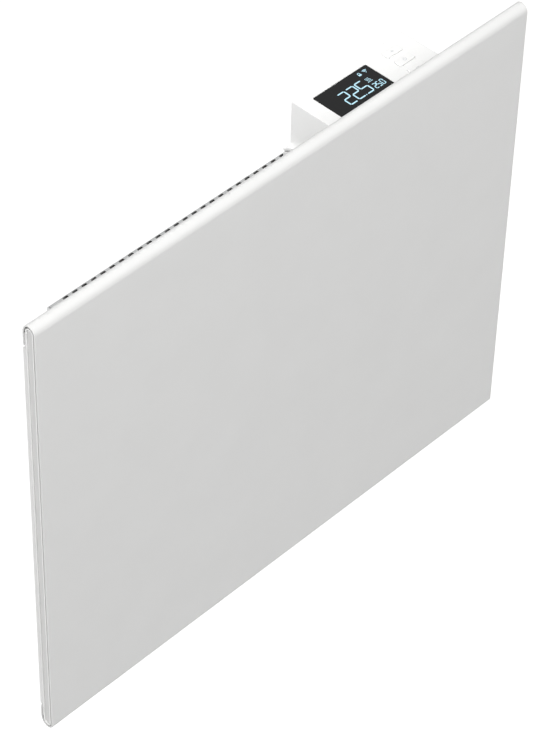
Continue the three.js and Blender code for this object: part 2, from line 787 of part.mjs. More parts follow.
function controlHousing() {
  const shell = bar("y", unitSection(), UNIT.y0, UNIT.y1).intersect(
    bar("z", footPlan(), COLLAR_SPLIT - 1, UNIT.z1 + 1),
  );
  const ceiling = UNIT.z1 - UNIT.roof;
  const cavity = unitCavity(COLLAR_SPLIT - 1, ceiling);
  const window = block(
    DISPLAY.x0 - GAP,
    DISPLAY.x1 + GAP,
    DISPLAY.y0 - GAP,
    DISPLAY.y1 + GAP,
    UNIT.z1 - 1.5,
    UNIT.z1 + 1,
  );
  const sight = block(
    DISPLAY.x0 + 2,
    DISPLAY.x1 - 2,
    DISPLAY.y0 + 2,
    DISPLAY.y1 - 2,
    ceiling - 1,
    UNIT.z1 - 1,
  );
  const buttonHoles = buttonMiddles().map((y) =>
    bar(
      "z",
      roundRect(
        BUTTON.x0 - GAP,
        BUTTON.x1 + GAP,
        y - BUTTON.depth / 2 - GAP,
        y + BUTTON.depth / 2 + GAP,
        1.2,
        3,
      ),
      ceiling - 1,
      UNIT.z1 + 1,
    ),
  );
  const posts = unitScrewPlaces().map(([x, y]) =>
    bar("z", circle(x, y, 3.2, 12), COLLAR_SPLIT, ceiling + 0.5),
  );
  const boardPosts = boardScrewPlaces().map(([x, y]) =>
    bar("z", circle(x, y, 2.6, 12), DISPLAY_BOARD_Z + BOARD.thick + GAP, ceiling + 0.5),
  );
  const postBores = unitScrewPlaces().map(([x, y]) =>
    bar("z", circle(x, y, 1.9, 8), COLLAR_SPLIT - 1, COLLAR_SPLIT + 14),
  );
  const boardBores = boardScrewPlaces().map(([x, y]) =>
    bar("z", circle(x, y, 1.3, 8), DISPLAY_BOARD_Z, ceiling - 1),
  );
  const hollow = cut(shell, cavity, window, sight, buttonHoles);
  return cut(join(hollow, posts, boardPosts), postBores, boardBores);
}

function boardScrewPlaces() {
  return [
    [371.5, 22],
    [371.5, 56],
  ];
}

// The base: a shallow tray under the housing, with screw bosses and pegs for the power board.
function controlBase() {
  const tray = cut(
    bar("z", footPlan(), BASE_BOTTOM, BASE_TOP),
    unitCavity(BASE_FLOOR, BASE_TOP + 1),
  );
  const pegs = [POWER_BOARD_X0 + 4, BOARD.x1 - 4].flatMap((x) =>
    [BOARD.y0 + 5, BOARD.y1 - 5].map((y) =>
      bar("z", circle(x, y, 2.5, 10), BASE_FLOOR - 0.1, POWER_BOARD_Z - GAP),
    ),
  );
  const bosses = unitScrewPlaces().map(([x, y]) =>
    bar("z", circle(x, y, 3.2, 12), BASE_FLOOR - 0.1, BASE_TOP),
  );
  const holes = unitScrewPlaces().map(([x, y]) => bar("z", circle(x, y, 1.9, 8), 325, 340));
  return cut(join(tray, pegs, bosses), leadOpening(), holes);
}

// A push button: a cap through the roof, a collar that keeps it in, and a stem down to its switch.
function button(y, stemEnd) {
  const ceiling = UNIT.z1 - UNIT.roof;
  const half = BUTTON.depth / 2;
  const top = UNIT.z1 + BUTTON.proud;
  const cap = bar("z", roundRect(BUTTON.x0, BUTTON.x1, y - half, y + half, 1, 3), ceiling - 1, top - 0.3);
  const crown = bar(
    "z",
    roundRect(BUTTON.x0 + 0.3, BUTTON.x1 - 0.3, y - half + 0.3, y + half - 0.3, 0.7, 3),
    top - 0.4,
    top,
  );
  const keeper = block(
    BUTTON.x0 - 1,
    BUTTON.x1 + 1,
    y - half - 1,
    y + half + 1,
    ceiling - GAP - 1.4,
    ceiling - GAP,
  );
  const middle = (BUTTON.x0 + BUTTON.x1) / 2;
  const stem = bar("z", circle(middle, y, 1.5, 10), stemEnd, ceiling - 1.5);
  return join(cap, crown, keeper, stem);
}

function tactSwitch(y, floor) {
  const x = (BUTTON.x0 + BUTTON.x1) / 2;
  const body = block(x - 3, x + 3, y - 3, y + 3, floor, floor + 3.6);
  return join(body, bar("z", circle(x, y, 1.75, 10), floor + 3.5, floor + 4.6));
}

function addControlUnit(group) {
  const screwHead = DUCT_TOP - DUCT_SHEET - GAP;
  piece(group, "control_housing", controlHousing(), "whitePlastic");
  piece(group, "control_base", controlBase(), "whitePlastic");
  unitScrewPlaces().forEach(([x, y], i) => {
    const screw = panScrew(vec(x, y, screwHead), vec(0, 0, 1), 2.8, 1.8, 1.4, 14);
    piece(group, `housing_screw_${i + 1}`, screw, "steel");
  });

  const glassTop = UNIT.z1 - 0.1;
  const glass = bar(
    "z",
    roundRect(DISPLAY.x0, DISPLAY.x1, DISPLAY.y0, DISPLAY.y1, 1.2, 4),
    glassTop - 1.1,
    glassTop,
  );
  piece(group, "display_glass", glass, "blackGlass");
  const boardTop = DISPLAY_BOARD_Z + BOARD.thick;
  const module = block(
    DISPLAY.x0 + 2.4,
    DISPLAY.x1 - 2.4,
    DISPLAY.y0 + 2.4,
    DISPLAY.y1 - 2.4,
    boardTop + GAP,
    glassTop - 1.1 - GAP,
  );
  piece(group, "display_module", module, "blackPlastic");

  const screwHoles = boardScrewPlaces().map(([x, y]) => bar("z", circle(x, y, 1.4, 8), 360, 366));
  const board = block(BOARD.x0, BOARD.x1, BOARD.y0, BOARD.y1, DISPLAY_BOARD_Z, boardTop);
  piece(group, "control_board", cut(board, screwHoles), "greenBoard");
  boardScrewPlaces().forEach(([x, y], i) => {
    const screw = panScrew(vec(x, y, DISPLAY_BOARD_Z - GAP), vec(0, 0, 1), 2.2, 1.5, 1, 7);
    piece(group, `board_screw_${i + 1}`, screw, "steel");
  });

  const switchFloor = boardTop + GAP;
  const names = ["plus", "mode", "minus"];
  buttonMiddles().forEach((y, i) => {
    piece(group, `button_${names[i]}`, button(y, switchFloor + 4.6 + PRESS + GAP), "whitePlastic");
    piece(group, `key_switch_${names[i]}`, tactSwitch(y, switchFloor), "blackPlastic");
  });
}

function addPowerBoard(group) {
  const top = POWER_BOARD_Z + BOARD.thick;
  const floor = top + GAP;
  const board = block(POWER_BOARD_X0, BOARD.x1, BOARD.y0, BOARD.y1, POWER_BOARD_Z, top);
  piece(group, "power_board", board, "greenBoard");
  piece(group, "terminal_block", terminalBlock(floor), "greenBoard");
  piece(group, "relay", block(344, 363, 21, 36.5, floor, floor + 15), "relayBlue");
  const core = block(370, 394, 22, 42, floor + 5, floor + 15);
  const winding = bar("z", roundRect(374, 390, 25, 39, 3), floor, floor + 18);
  piece(group, "transformer", join(core, winding), "blackPlastic");
}

function terminalBlock(floor) {
  const body = block(324, 336, 28, 50, floor, floor + 9);
  const screwWells = [34, 44].map((y) => bar("z", circle(330, y, 2.4, 10), floor + 5, floor + 10));
  return cut(body, screwWells);
}

// ---------------------------------------------------------------------------------------------
// Wall bracket: its back lies on the wall plane, Y = 0
// ---------------------------------------------------------------------------------------------

function hangingRail() {
  const { sheet, reach, lipTop, high, length } = RAIL;
  const low = -high / 2;
  const section = [
    [0, low],
    [0, high / 2],
    [-sheet, high / 2],
    [-sheet, low + sheet],
    [-reach + sheet, low + sheet],
    [-reach + sheet, lipTop],
    [-reach, lipTop],
    [-reach, low],
  ];
  const holes = [-110, -40, 40, 110].map((x) => bar("y", circle(x, 8, 3, 12), -5, 5));
  return cut(bar("x", section, -length / 2, length / 2), holes);
}

// A strip down the wall, its foot bent forwards to hold the heater's lower half off the wall.
function upright(x, reach) {
  const { sheet } = RAIL;
  const top = -RAIL.high / 2 - GAP;
  const section = [
    [0, UPRIGHT.low],
    [0, top],
    [-sheet, top],
    [-sheet, UPRIGHT.low + sheet],
    [-reach + sheet, UPRIGHT.low + sheet],
    [-reach + sheet, UPRIGHT.low + UPRIGHT.lip],
    [-reach, UPRIGHT.low + UPRIGHT.lip],
    [-reach, UPRIGHT.low],
  ];
  const hole = bar("y", circle(x, UPRIGHT.low + 40, 3, 12), -5, 5);
  return cut(bar("x", section, x - UPRIGHT.width / 2, x + UPRIGHT.width / 2), hole);
}

function addBracket(group) {
  const padFront = -(WALL_TO_FRONT - BACK_SHEET_REAR) + GAP;
  const padRear = padFront + 2;
  const reach = -padRear - GAP;
  piece(group, "hanging_rail", hangingRail(), "zincSheet");
  for (const [side, x] of [
    ["left", -UPRIGHT.x],
    ["right", UPRIGHT.x],
  ]) {
    piece(group, `bracket_upright_${side}`, upright(x, reach), "zincSheet");
    const pad = roundRect(x - 9, x + 9, UPRIGHT.low + 3, UPRIGHT.low + 21, 2, 3);
    piece(group, `spacer_pad_${side}`, bar("y", pad, padFront, padRear), "rubber");
  }
}

// ---------------------------------------------------------------------------------------------
// Assembly
// ---------------------------------------------------------------------------------------------

const heater = new THREE.Group();
heater.position.set(-PANEL_WIDTH / 2, -WALL_TO_FRONT, -RAIL_HEIGHT);
addPanel(heater);
addDuct(heater);
addHeating(heater);
addGland(heater);
addControlUnit(heater);
addPowerBoard(heater);

const bracket = new THREE.Group();
addBracket(bracket);

const convector = new THREE.Group();
convector.add(heater, bracket);

export default convector;
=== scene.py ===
"""Wall panel convector heater: its fine shapes and finishes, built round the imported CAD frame."""

import json
import math

import bmesh
import bpy
from mathutils import Matrix, Vector


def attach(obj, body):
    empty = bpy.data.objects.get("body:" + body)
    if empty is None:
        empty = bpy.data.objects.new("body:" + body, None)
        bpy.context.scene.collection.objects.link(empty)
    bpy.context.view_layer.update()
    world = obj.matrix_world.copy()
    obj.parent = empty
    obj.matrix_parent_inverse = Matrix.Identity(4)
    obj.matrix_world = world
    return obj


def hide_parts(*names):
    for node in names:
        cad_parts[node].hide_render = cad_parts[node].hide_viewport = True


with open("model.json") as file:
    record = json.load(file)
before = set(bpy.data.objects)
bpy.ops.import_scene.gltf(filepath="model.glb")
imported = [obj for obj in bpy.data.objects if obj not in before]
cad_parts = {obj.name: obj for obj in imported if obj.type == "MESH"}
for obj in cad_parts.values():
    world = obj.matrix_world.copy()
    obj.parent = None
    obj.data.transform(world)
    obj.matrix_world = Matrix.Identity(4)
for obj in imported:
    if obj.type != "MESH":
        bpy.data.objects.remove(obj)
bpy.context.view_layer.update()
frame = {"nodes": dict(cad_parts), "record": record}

MM = 0.001

# ----------------------------------------------------------------------------------------------
# Camera: the photograph's viewpoint, solved from the panel's straight edges
# ----------------------------------------------------------------------------------------------

CAMERA_PLACE = (-1.18320, -1.18071, 1.52823)
CAMERA_YAW = 0.817590882  # from straight at the wall, towards the right
CAMERA_PITCH = 0.777599097  # downwards
CAMERA_ROLL = 0.028656131
CAMERA_LENS = 156.37


def place_camera():
    forward = Vector(
        (
            math.sin(CAMERA_YAW) * math.cos(CAMERA_PITCH),
            math.cos(CAMERA_YAW) * math.cos(CAMERA_PITCH),
            -math.sin(CAMERA_PITCH),
        )
    )
    level = Vector((math.cos(CAMERA_YAW), -math.sin(CAMERA_YAW), 0))
    upright = level.cross(forward)
    right = level * math.cos(CAMERA_ROLL) + upright * math.sin(CAMERA_ROLL)
    up = upright * math.cos(CAMERA_ROLL) - level * math.sin(CAMERA_ROLL)
    camera = bpy.data.objects.new("camera", bpy.data.cameras.new("camera"))
    bpy.context.scene.collection.objects.link(camera)
    camera.data.lens = CAMERA_LENS
    camera.data.clip_end = 100
    turn = Matrix((right, up, -forward)).transposed().to_4x4()
    camera.matrix_world = Matrix.Translation(CAMERA_PLACE) @ turn
    bpy.context.scene.camera = camera


place_camera()

# ----------------------------------------------------------------------------------------------
# Sizes in millimetres. The heater is drawn from the panel's lower left corner: X to the right,
# Y from the front face towards the wall, Z up. The bracket is drawn in the CAD's own frame.
# ----------------------------------------------------------------------------------------------

HEATER = Vector((-237.5, -85.0, -265.0))
BRACKET = Vector((0.0, 0.0, 0.0))

PANEL_WIDTH = 475.0
PANEL_HEIGHT = 400.0
PANEL_DEPTH = 12.0
PANEL_SHEET = 1.2
PANEL_SWEEP = 8.5  # height of its folds behind; in front they are quarter-round
TOP_RETURN_END = 380.0
BOTTOM_RETURN_END = 19.0

CAP_FRONT, CAP_REAR = 2.0, 9.2
CAP_BOTTOM, CAP_TOP = 2.6, 397.4
CAP_INSET, CAP_RECESS, CAP_LENGTH, CAP_RIM = 0.1, 0.8, 4.0, 1.0

BACK_SHEET, BACK_TUCK, BACK_REAR = 0.9, 9.6, 12.5
BACK_TUCK_BOTTOM, BACK_TUCK_TOP, BACK_INSET = 9.0, 391.0, 0.4

DUCT_SHEET = 0.8
DUCT_LEFT, DUCT_RIGHT = 67.5, 410.2
DUCT_FRONT, DUCT_REAR = 13.1, 64.6
DUCT_BOTTOM, DUCT_TOP = 45.0, 332.6
DUCT_LIP = 14.0
DUCT_BEND = 1.0
DUCT_INNER_LEFT, DUCT_INNER_RIGHT = 68.6, 409.1
REAR_SHEET_REAR = 63.5
FLANGE_REACH, FLANGE_SHORT = 10.0, 15.0  # out from the side, and short of the duct at each end

SLOT_FIRST, SLOT_PITCH, SLOT_WIDTH, SLOT_CORNER = 82.6, 8.66, 4.6, 0.8
TOP_SLOTS, TOP_SLOT_FRONT, TOP_SLOT_REAR = 25, 23.0, 63.5
FLOOR_SLOTS, FLOOR_SLOT_WIDTH, FLOOR_SLOT_FRONT, FLOOR_SLOT_REAR = 16, 9.0, 21.0, 56.0

UNIT_LEFT, UNIT_RIGHT, UNIT_FRONT, UNIT_REAR, UNIT_TOP = 297.6, 410.2, 13.9, 61.6, 378.0
UNIT_WALL, UNIT_ROOF, UNIT_CORNER, UNIT_EDGE = 2.0, 2.4, 0.8, 0.25
FOOT_REACH, FOOT_TIP, FOOT_RUN = 2.8, 7.1, 4.6  # past the left wall: all along, and at the rear
FLARE_HEIGHT, FLARE_RUN = 8.0, 7.0
COLLAR_TOP, COLLAR_SPLIT = 339.7, 337.5
BASE_BOTTOM, BASE_FLOOR, BASE_TOP = 332.9, 334.5, 336.3  # the slit above is opened so it shows
POSTS = [(304.5, 25.0), (304.5, 53.0), (402.5, 25.0), (402.5, 53.0)]
POST_RADIUS, POST_BORE = 3.2, 1.9
BOARD_POSTS = [(371.5, 22.0), (371.5, 56.0)]
BOARD_POST_RADIUS, BOARD_POST_BORE, BOARD_POST_END = 2.6, 1.3, 364.3
PEGS = [(x, y) for x in (326.0, 393.5) for y in (23.0, 54.0)]
PEG_RADIUS, PEG_TOP = 2.5, 337.7
LEAD_SLOT = (311.0, 321.0, 27.0, 51.0, 2.0)  # through the base and the grille below it

DISPLAY = (310.8, 364.3, 22.7, 53.7)
DISPLAY_CORNER = 1.2
GLASS_TOP, GLASS_SHEET, GLASS_SEAT, GLASS_LEDGE = 377.9, 1.1, 1.5, 2.0
PRINT = 0.02  # thickness of the printed and the lit figures
FIT = 0.3  # clearance round the display and the buttons

BUTTON_LEFT, BUTTON_RIGHT, BUTTON_DEPTH, BUTTON_TOP = 380.4, 395.6, 6.8, 378.8
BUTTON_ROWS = {"plus": 50.0, "mode": 37.8, "minus": 25.6}
BUTTON_BOTTOM, BUTTON_EDGE, BUTTON_CORNER = 374.6, 0.4, 1.0
KEEPER_BOTTOM, KEEPER_TOP, KEEPER_MARGIN = 373.9, 375.3, 1.0
STEM_END, STEM_TOP, STEM_RADIUS = 369.7, 374.2, 1.5
SIGN_REACH, SIGN_HALF = 1.5, 0.22

GLAND_PLACE, GLAND_BORE = (392.0, 38.0), 4.2
SENSOR_PLACE = (366.0, 38.0)
FLANGE_SCREWS = [(x, z) for x in (62.5, 415.2) for z in (110.0, 268.0)]
HANGER_MIDDLES = {"left": 152.5, "right": 322.5}
HANGER_WIDTH, HANGER_SHEET, HANGER_BEND = 30.0, 1.5, 2.0
HANGER_REAR, HANGER_SEAT = 80.5, 259.3
HANGER_DROP, HANGER_TONGUE = 24.0, 8.0  # how far it hangs down in front and behind
RIVET_HEIGHT, RIVET_SPREAD, RIVET_HOLE = 243.0, 8.0, 2.5
RIVET_PLACES = [x + dx for x in HANGER_MIDDLES.values() for dx in (-RIVET_SPREAD, RIVET_SPREAD)]

# ----------------------------------------------------------------------------------------------
# Outlines and meshes
# ----------------------------------------------------------------------------------------------

AXES = {
    "x": Matrix(((0, 0, 1), (1, 0, 0), (0, 1, 0))),  # outline in Y, Z
    "y": Matrix(((1, 0, 0), (0, 0, -1), (0, 1, 0))),  # outline in X, Z
    "z": Matrix.Identity(3),  # outline in X, Y
}


def arc(cu, cv, radius, start, end, steps):
    """Points of an arc between two angles in degrees."""
    angles = [
        math.radians(start + (end - start) * i / steps) for i in range(steps + 1)
    ]
    return [(cu + radius * math.cos(a), cv + radius * math.sin(a)) for a in angles]


def circle(cu, cv, radius, steps=32):
    return arc(cu, cv, radius, 0, 360, steps)[:-1]


def rounded(u0, u1, v0, v1, radii, steps=8):
    """A rectangle whose corners have one radius, or four from the lower left, counter-clockwise."""
    radii = radii if isinstance(radii, (list, tuple)) else [radii] * 4
    corners = [(u0, v0, 1, 1), (u1, v0, -1, 1), (u1, v1, -1, -1), (u0, v1, 1, -1)]
    points = []
    for i, (u, v, su, sv) in enumerate(corners):
        if radii[i] > 0:
            centre = (u + su * radii[i], v + sv * radii[i])
            points += arc(*centre, radii[i], 180 + 90 * i, 270 + 90 * i, steps)
        else:
            points.append((u, v))
    return points


def slab(outlines, axis, start, end, rim=0.0, origin=HEATER):
    """A plate of an outline with holes, or a straight bar, with its end edges rounded by rim."""
    curve = bpy.data.curves.new("outline", "CURVE")
    curve.dimensions = "2D"
    curve.fill_mode = "BOTH"
    curve.extrude = ((end - start) / 2 - rim) * MM
    curve.bevel_depth = rim * MM
    curve.bevel_resolution = 1
    curve.offset = -rim * MM
    for outline in outlines:
        spline = curve.splines.new("POLY")
        spline.points.add(len(outline) - 1)
        for point, (u, v) in zip(spline.points, outline):
            point.co = (u * MM, v * MM, 0, 1)
        spline.use_cyclic_u = True
    holder = bpy.data.objects.new("outline", curve)
    mesh = bpy.data.meshes.new_from_object(holder)
    bpy.data.objects.remove(holder)
    bpy.data.curves.remove(curve)
    middle = (start + end) / 2 * (-1 if axis == "y" else 1)
    lift = Matrix.Translation((0, 0, middle * MM))
    mesh.transform(Matrix.Translation(origin * MM) @ AXES[axis].to_4x4() @ lift)
    return mesh


def ring_faces(bm, lower, upper):
    for i in range(len(lower)):
        j = (i + 1) % len(lower)
        bm.faces.new((lower[i], lower[j], upper[j], upper[i]))


def ring(bm, points, origin=HEATER):
    return [bm.verts.new((Vector(p) + origin) * MM) for p in points]


def as_mesh(bm):
    mesh = bpy.data.meshes.new("shape")
    bm.to_mesh(mesh)
    bm.free()
    return mesh


def turned(profile, direction, place, steps=48, origin=HEATER):
    """A turned piece: its profile is a list of (radius, height) along direction."""
    bm = bmesh.new()
    turn = Vector((0, 0, 1)).rotation_difference(Vector(direction)).to_matrix()
    rings = []
    for radius, height in profile:
        points = circle(0, 0, radius, steps) if radius > 0 else [(0, 0)]
        rings.append(
            ring(bm, [Vector(place) + turn @ Vector((*p, height)) for p in points], origin)
        )
    for lower, upper in zip(rings, rings[1:]):
        if len(lower) > 1 and len(upper) > 1:
            ring_faces(bm, lower, upper)
        else:
            tip, edge = (lower, upper) if len(lower) == 1 else (upper, lower)
            for i in range(steps):
                bm.faces.new((tip[0], edge[i], edge[(i + 1) % steps]))
    return as_mesh(bm)


def fill(bm, *borders):
    """A flat face inside the first ring of vertices, with the other rings as holes in it."""
    edges = []
    for border in borders:
        for a, b in zip(border, border[1:] + border[:1]):
            edges.append(bm.edges.get((a, b)) or bm.edges.new((a, b)))
    bmesh.ops.triangle_fill(bm, edges=edges, use_beauty=True)


def stack(bm, levels):
    """Skins a stack of (outline, height) levels and gives its rings."""
    rings = [ring(bm, [(u, v, z) for u, v in outline]) for outline, z in levels]
    for lower, upper in zip(rings, rings[1:]):
        ring_faces(bm, lower, upper)
    return rings


def piece(name, meshes, material, body, replaced=(), sharp=38):
    """One object of several meshes, its normals outwards, its edges over the angle kept sharp."""
    bm = bmesh.new()
    for mesh in meshes:
        bm.from_mesh(mesh)
        bpy.data.meshes.remove(mesh)
    bmesh.ops.remove_doubles(bm, verts=bm.verts, dist=1e-7)
    bmesh.ops.recalc_face_normals(bm, faces=bm.faces)
    for face in bm.faces:
        face.smooth = True
    for edge in bm.edges:
        pair = len(edge.link_faces) == 2
        edge.smooth = pair and edge.calc_face_angle() < math.radians(sharp)
    made = bpy.data.objects.new(name, as_mesh(bm))
    made.data.materials.append(material)
    bpy.context.scene.collection.objects.link(made)
    weighted = made.modifiers.new("even shading", "WEIGHTED_NORMAL")
    weighted.keep_sharp = True
    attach(made, body)
    if replaced:
        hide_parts(*replaced)
    return made


# ----------------------------------------------------------------------------------------------
# Finishes
# ----------------------------------------------------------------------------------------------


def colour(code):
    """An sRGB hex colour as linear values."""
    parts = [int(code[i : i + 2], 16) / 255 for i in (1, 3, 5)]
    line = [c / 12.92 if c <= 0.04045 else ((c + 0.055) / 1.055) ** 2.4 for c in parts]
    return (*line, 1.0)


def node(tree, kind, inputs=None, **settings):
    """Adds a node with its settings; an input takes a value or another node's output."""
    made = tree.nodes.new(kind)
    for key, value in settings.items():
        setattr(made, key, value)
    for key, value in (inputs or {}).items():
        if isinstance(value, bpy.types.NodeSocket):
            tree.links.new(value, made.inputs[key])
        else:
            made.inputs[key].default_value = value
    return made


def finish(name, **sockets):
    """A new material with the given Principled sockets, its node tree and its shader."""
    made = bpy.data.materials.new(name)
    made.use_nodes = True
    tree = made.node_tree
    shader = tree.nodes["Principled BSDF"]
    for key, value in sockets.items():
        shader.inputs[key.replace("_", " ")].default_value = value
    return made, tree, shader


def mottled(
    name, shades, patch_mm, rough, grain_mm, relief=None, along=(1, 1, 1), detail=2.0, **sockets
):
    """A material whose shade drifts in patches and whose roughness follows a finer grain.

    relief is the grain's depth in millimetres and its strength; along stretches both patterns.
    """
    made, tree, shader = finish(name, **sockets)
    place = node(tree, "ShaderNodeTexCoord").outputs["Object"]
    run = node(tree, "ShaderNodeMapping", {"Vector": place, "Scale": along}).outputs["Vector"]
    patches, grain = (
        node(
            tree,
            "ShaderNodeTexNoise",
            {"Vector": run, "Scale": 1 / (size * MM), "Detail": detail},
        ).outputs["Fac"]
        for size in (patch_mm, grain_mm)
    )
    shade = node(
        tree,
        "ShaderNodeMix",
        {"Factor": patches, "A": colour(shades[0]), "B": colour(shades[1])},
        data_type="RGBA",
    )
    spread = node(
        tree,
        "ShaderNodeMapRange",
        {"Value": grain, "From Min": 0.3, "From Max": 0.7, "To Min": rough[0], "To Max": rough[1]},
    )
    tree.links.new(shade.outputs["Result"], shader.inputs["Base Color"])
    tree.links.new(spread.outputs["Result"], shader.inputs["Roughness"])
    if relief:
        bump = node(
            tree,
            "ShaderNodeBump",
            {"Height": grain, "Distance": relief[0] * MM, "Strength": relief[1]},
        )
        tree.links.new(bump.outputs["Normal"], shader.inputs["Normal"])
    return made


def powder_coat(name, dark, light):
    """Sprayed and baked polyester powder: a satin white with a faint orange peel."""
    return mottled(name, (dark, light), 40, (0.42, 0.5), 2.2, (0.012, 0.35), IOR=1.5)


def moulded(name, dark, light, rough, grain_mm=0.9):
    """Injection-moulded plastic from a spark-eroded mould: a fine matte grain, drawn coarser
    than the real 0.1 mm so that it shows."""
    spread = (rough, rough + 0.08)
    return mottled(name, (dark, light), 25, spread, grain_mm, (0.01, 0.3), IOR=1.53)


def drawn_metal(name, dark, light, rough, along):
    """Drawn or extruded metal: fine lines along its length."""
    spread = (rough - 0.06, rough + 0.08)
    return mottled(name, (dark, light), 0.5, spread, 0.5, along=along, detail=4.0, Metallic=1.0)


def zinc_coated(name, dark, light):
    """Zinc-coated steel sheet: a soft grey metal with pale, patchy crystals 5 mm across."""
    made, tree, shader = finish(name, Metallic=1.0)
    place = node(tree, "ShaderNodeTexCoord").outputs["Object"]
    crystals = node(tree, "ShaderNodeTexVoronoi", {"Vector": place, "Scale": 1 / (5 * MM)})
    shade = node(
        tree,
        "ShaderNodeMix",
        {"Factor": crystals.outputs["Color"], "A": colour(dark), "B": colour(light)},
        data_type="RGBA",
    )
    spread = node(
        tree,
        "ShaderNodeMapRange",
        {
            "Value": crystals.outputs["Distance"],
            "From Min": 0.3,
            "From Max": 0.7,
            "To Min": 0.3,
            "To Max": 0.45,
        },
    )
    tree.links.new(shade.outputs["Result"], shader.inputs["Base Color"])
    tree.links.new(spread.outputs["Result"], shader.inputs["Roughness"])
    return made


def lit_figures():
    """Back-lit figures: a pale cyan glow, a little uneven across the light guide."""
    made, tree, shader = finish(
        "lit figures", Base_Color=colour("#0A0C0E"), Roughness=0.4, Emission_Strength=1.12
    )
    place = node(tree, "ShaderNodeTexCoord").outputs["Object"]
    guide = node(
        tree, "ShaderNodeTexNoise", {"Vector": place, "Scale": 1 / (6 * MM), "Detail": 2.0}
    )
    glow = node(
        tree,
        "ShaderNodeMix",
        {"Factor": guide.outputs["Fac"], "A": colour("#B0E2F5"), "B": colour("#C8F0FC")},
        data_type="RGBA",
    )
    tree.links.new(glow.outputs["Result"], shader.inputs["Emission Color"])
    return made


def solder_mask():
    """Glass-epoxy board under green solder mask: copper tracks show as paler lines."""
    made, tree, shader = finish("solder mask", IOR=1.5)
    place = node(tree, "ShaderNodeTexCoord").outputs["Object"]
    tracks = node(
        tree,
        "ShaderNodeTexBrick",
        {
            "Vector": place,
            "Scale": 1 / (8 * MM),
            "Mortar Size": 0.02,
            "Color1": colour("#17543A"),
            "Color2": colour("#1B5E40"),
            "Mortar": colour("#3E8A62"),
        },
    )
    ripple = node(
        tree, "ShaderNodeTexNoise", {"Vector": place, "Scale": 1 / (3 * MM), "Detail": 2.0}
    )
    spread = node(
        tree,
        "ShaderNodeMapRange",
        {
            "Value": ripple.outputs["Fac"],
            "From Min": 0.3,
            "From Max": 0.7,
            "To Min": 0.3,
            "To Max": 0.4,
        },
    )
    tree.links.new(tracks.outputs["Color"], shader.inputs["Base Color"])
    tree.links.new(spread.outputs["Result"], shader.inputs["Roughness"])
    return made


# A bright satin white; the caps are a shade greyer.
PAINT = powder_coat("white powder coat", "#E3E3E2", "#E7E7E6")
CAP_PAINT = powder_coat("white powder coat on the caps", "#D4D4D3", "#D7D7D6")
# The whitest surfaces: housing, base and cap rims, with slightly glossier buttons.
WHITE_ABS = moulded("white moulded ABS", "#F6F6F5", "#F8F8F7", 0.4)
BUTTON_ABS = moulded("white moulded button ABS", "#F5F5F4", "#F7F7F6", 0.36, 0.7)
# The bracket's plating is cool; the casing's sheet is a more neutral grey.
ZINC = zinc_coated("zinc-plated steel", "#B4B9BC", "#CBD0D3")
CASING_ZINC = zinc_coated("zinc-coated casing sheet", "#B3B4B4", "#C3C4C4")
ALUMINIUM = drawn_metal("extruded aluminium", "#BFC3C6", "#D6D9DB", 0.34, (0.04, 1, 1))
STEEL = drawn_metal("plated screw steel", "#A9ADB0", "#C2C5C7", 0.32, (1, 1, 0.2))
BLACK_POLYAMIDE = moulded("black moulded polyamide", "#17181A", "#1E1F21", 0.45)
# Smoke-black acrylic whose coating takes off most of its shine: deep, even black.
ACRYLIC = mottled(
    "coated smoke acrylic",
    ("#0E0F10", "#111213"),
    9,
    (0.06, 0.1),
    9,
    IOR=1.49,
    Specular_IOR_Level=0.19,
)
FIGURES = lit_figures()
# A flat, light grey film that only just shows on the white buttons.
INK = moulded("pale grey printed ink", "#C9CCCE", "#D2D5D7", 0.5)
# Unglazed, so chalky and cream.
CERAMIC = moulded("unglazed steatite", "#E2DCCB", "#EDE7D8", 0.6, 1.4)
BOARD = solder_mask()
GREEN_POLYAMIDE = moulded("green moulded polyamide", "#1F7A4C", "#248554", 0.4)
RELAY_BLUE = moulded("blue moulded relay case", "#2B5F9E", "#3068AA", 0.3)
# Both take the light softly: one nearly black and dull, one brown with a faint shine.
RUBBER = moulded("black rubber", "#1F2022", "#28292B", 0.75, 1.2)
SILICONE = moulded("brown silicone sleeve", "#7A3D22", "#8C4A2A", 0.5, 1.0)

SLOT_FINISHES = {
    "white_paint": PAINT,
    "white_cap": CAP_PAINT,
    "zinc_sheet": ZINC,
    "white_plastic": WHITE_ABS,
    "display_glass": ACRYLIC,
    "black_plastic": BLACK_POLYAMIDE,
    "aluminium": ALUMINIUM,
    "steel": STEEL,
    "ceramic": CERAMIC,
    "circuit_board": BOARD,
    "green_plastic": GREEN_POLYAMIDE,
    "relay_case": RELAY_BLUE,
    "rubber": RUBBER,
    "lead_jacket": SILICONE,
}

for subpart in frame["record"]["subparts"]:
    kept = frame["nodes"][subpart["node"]].data.materials
    kept.clear()
    kept.append(SLOT_FINISHES[subpart["material_slot"]])

# ----------------------------------------------------------------------------------------------
# Front panel
# ----------------------------------------------------------------------------------------------


def fold(edge, up, inset, steps=40):
    """A fold from its return to the front face, drawn in by inset."""
    radius = PANEL_DEPTH / 2
    points = []
    for u, v in arc(0, 0, 1, 0, 180, steps):
        height = PANEL_SWEEP if u > 0 else radius
        points.append((radius + u * (radius - inset), edge - up * (height - v * (height - inset))))
    return points


def folded_section():
    """The panel's section in Y, Z: a fold at each end, with a return behind it."""
    inner = PANEL_DEPTH - PANEL_SHEET
    return [
        (PANEL_DEPTH, TOP_RETURN_END),
        *fold(PANEL_HEIGHT, 1, 0),
        *fold(0, -1, 0)[::-1],
        (PANEL_DEPTH, BOTTOM_RETURN_END),
        (inner, BOTTOM_RETURN_END),
        *fold(0, -1, PANEL_SHEET),
        *fold(PANEL_HEIGHT, 1, PANEL_SHEET)[::-1],
        (inner, TOP_RETURN_END),
    ]


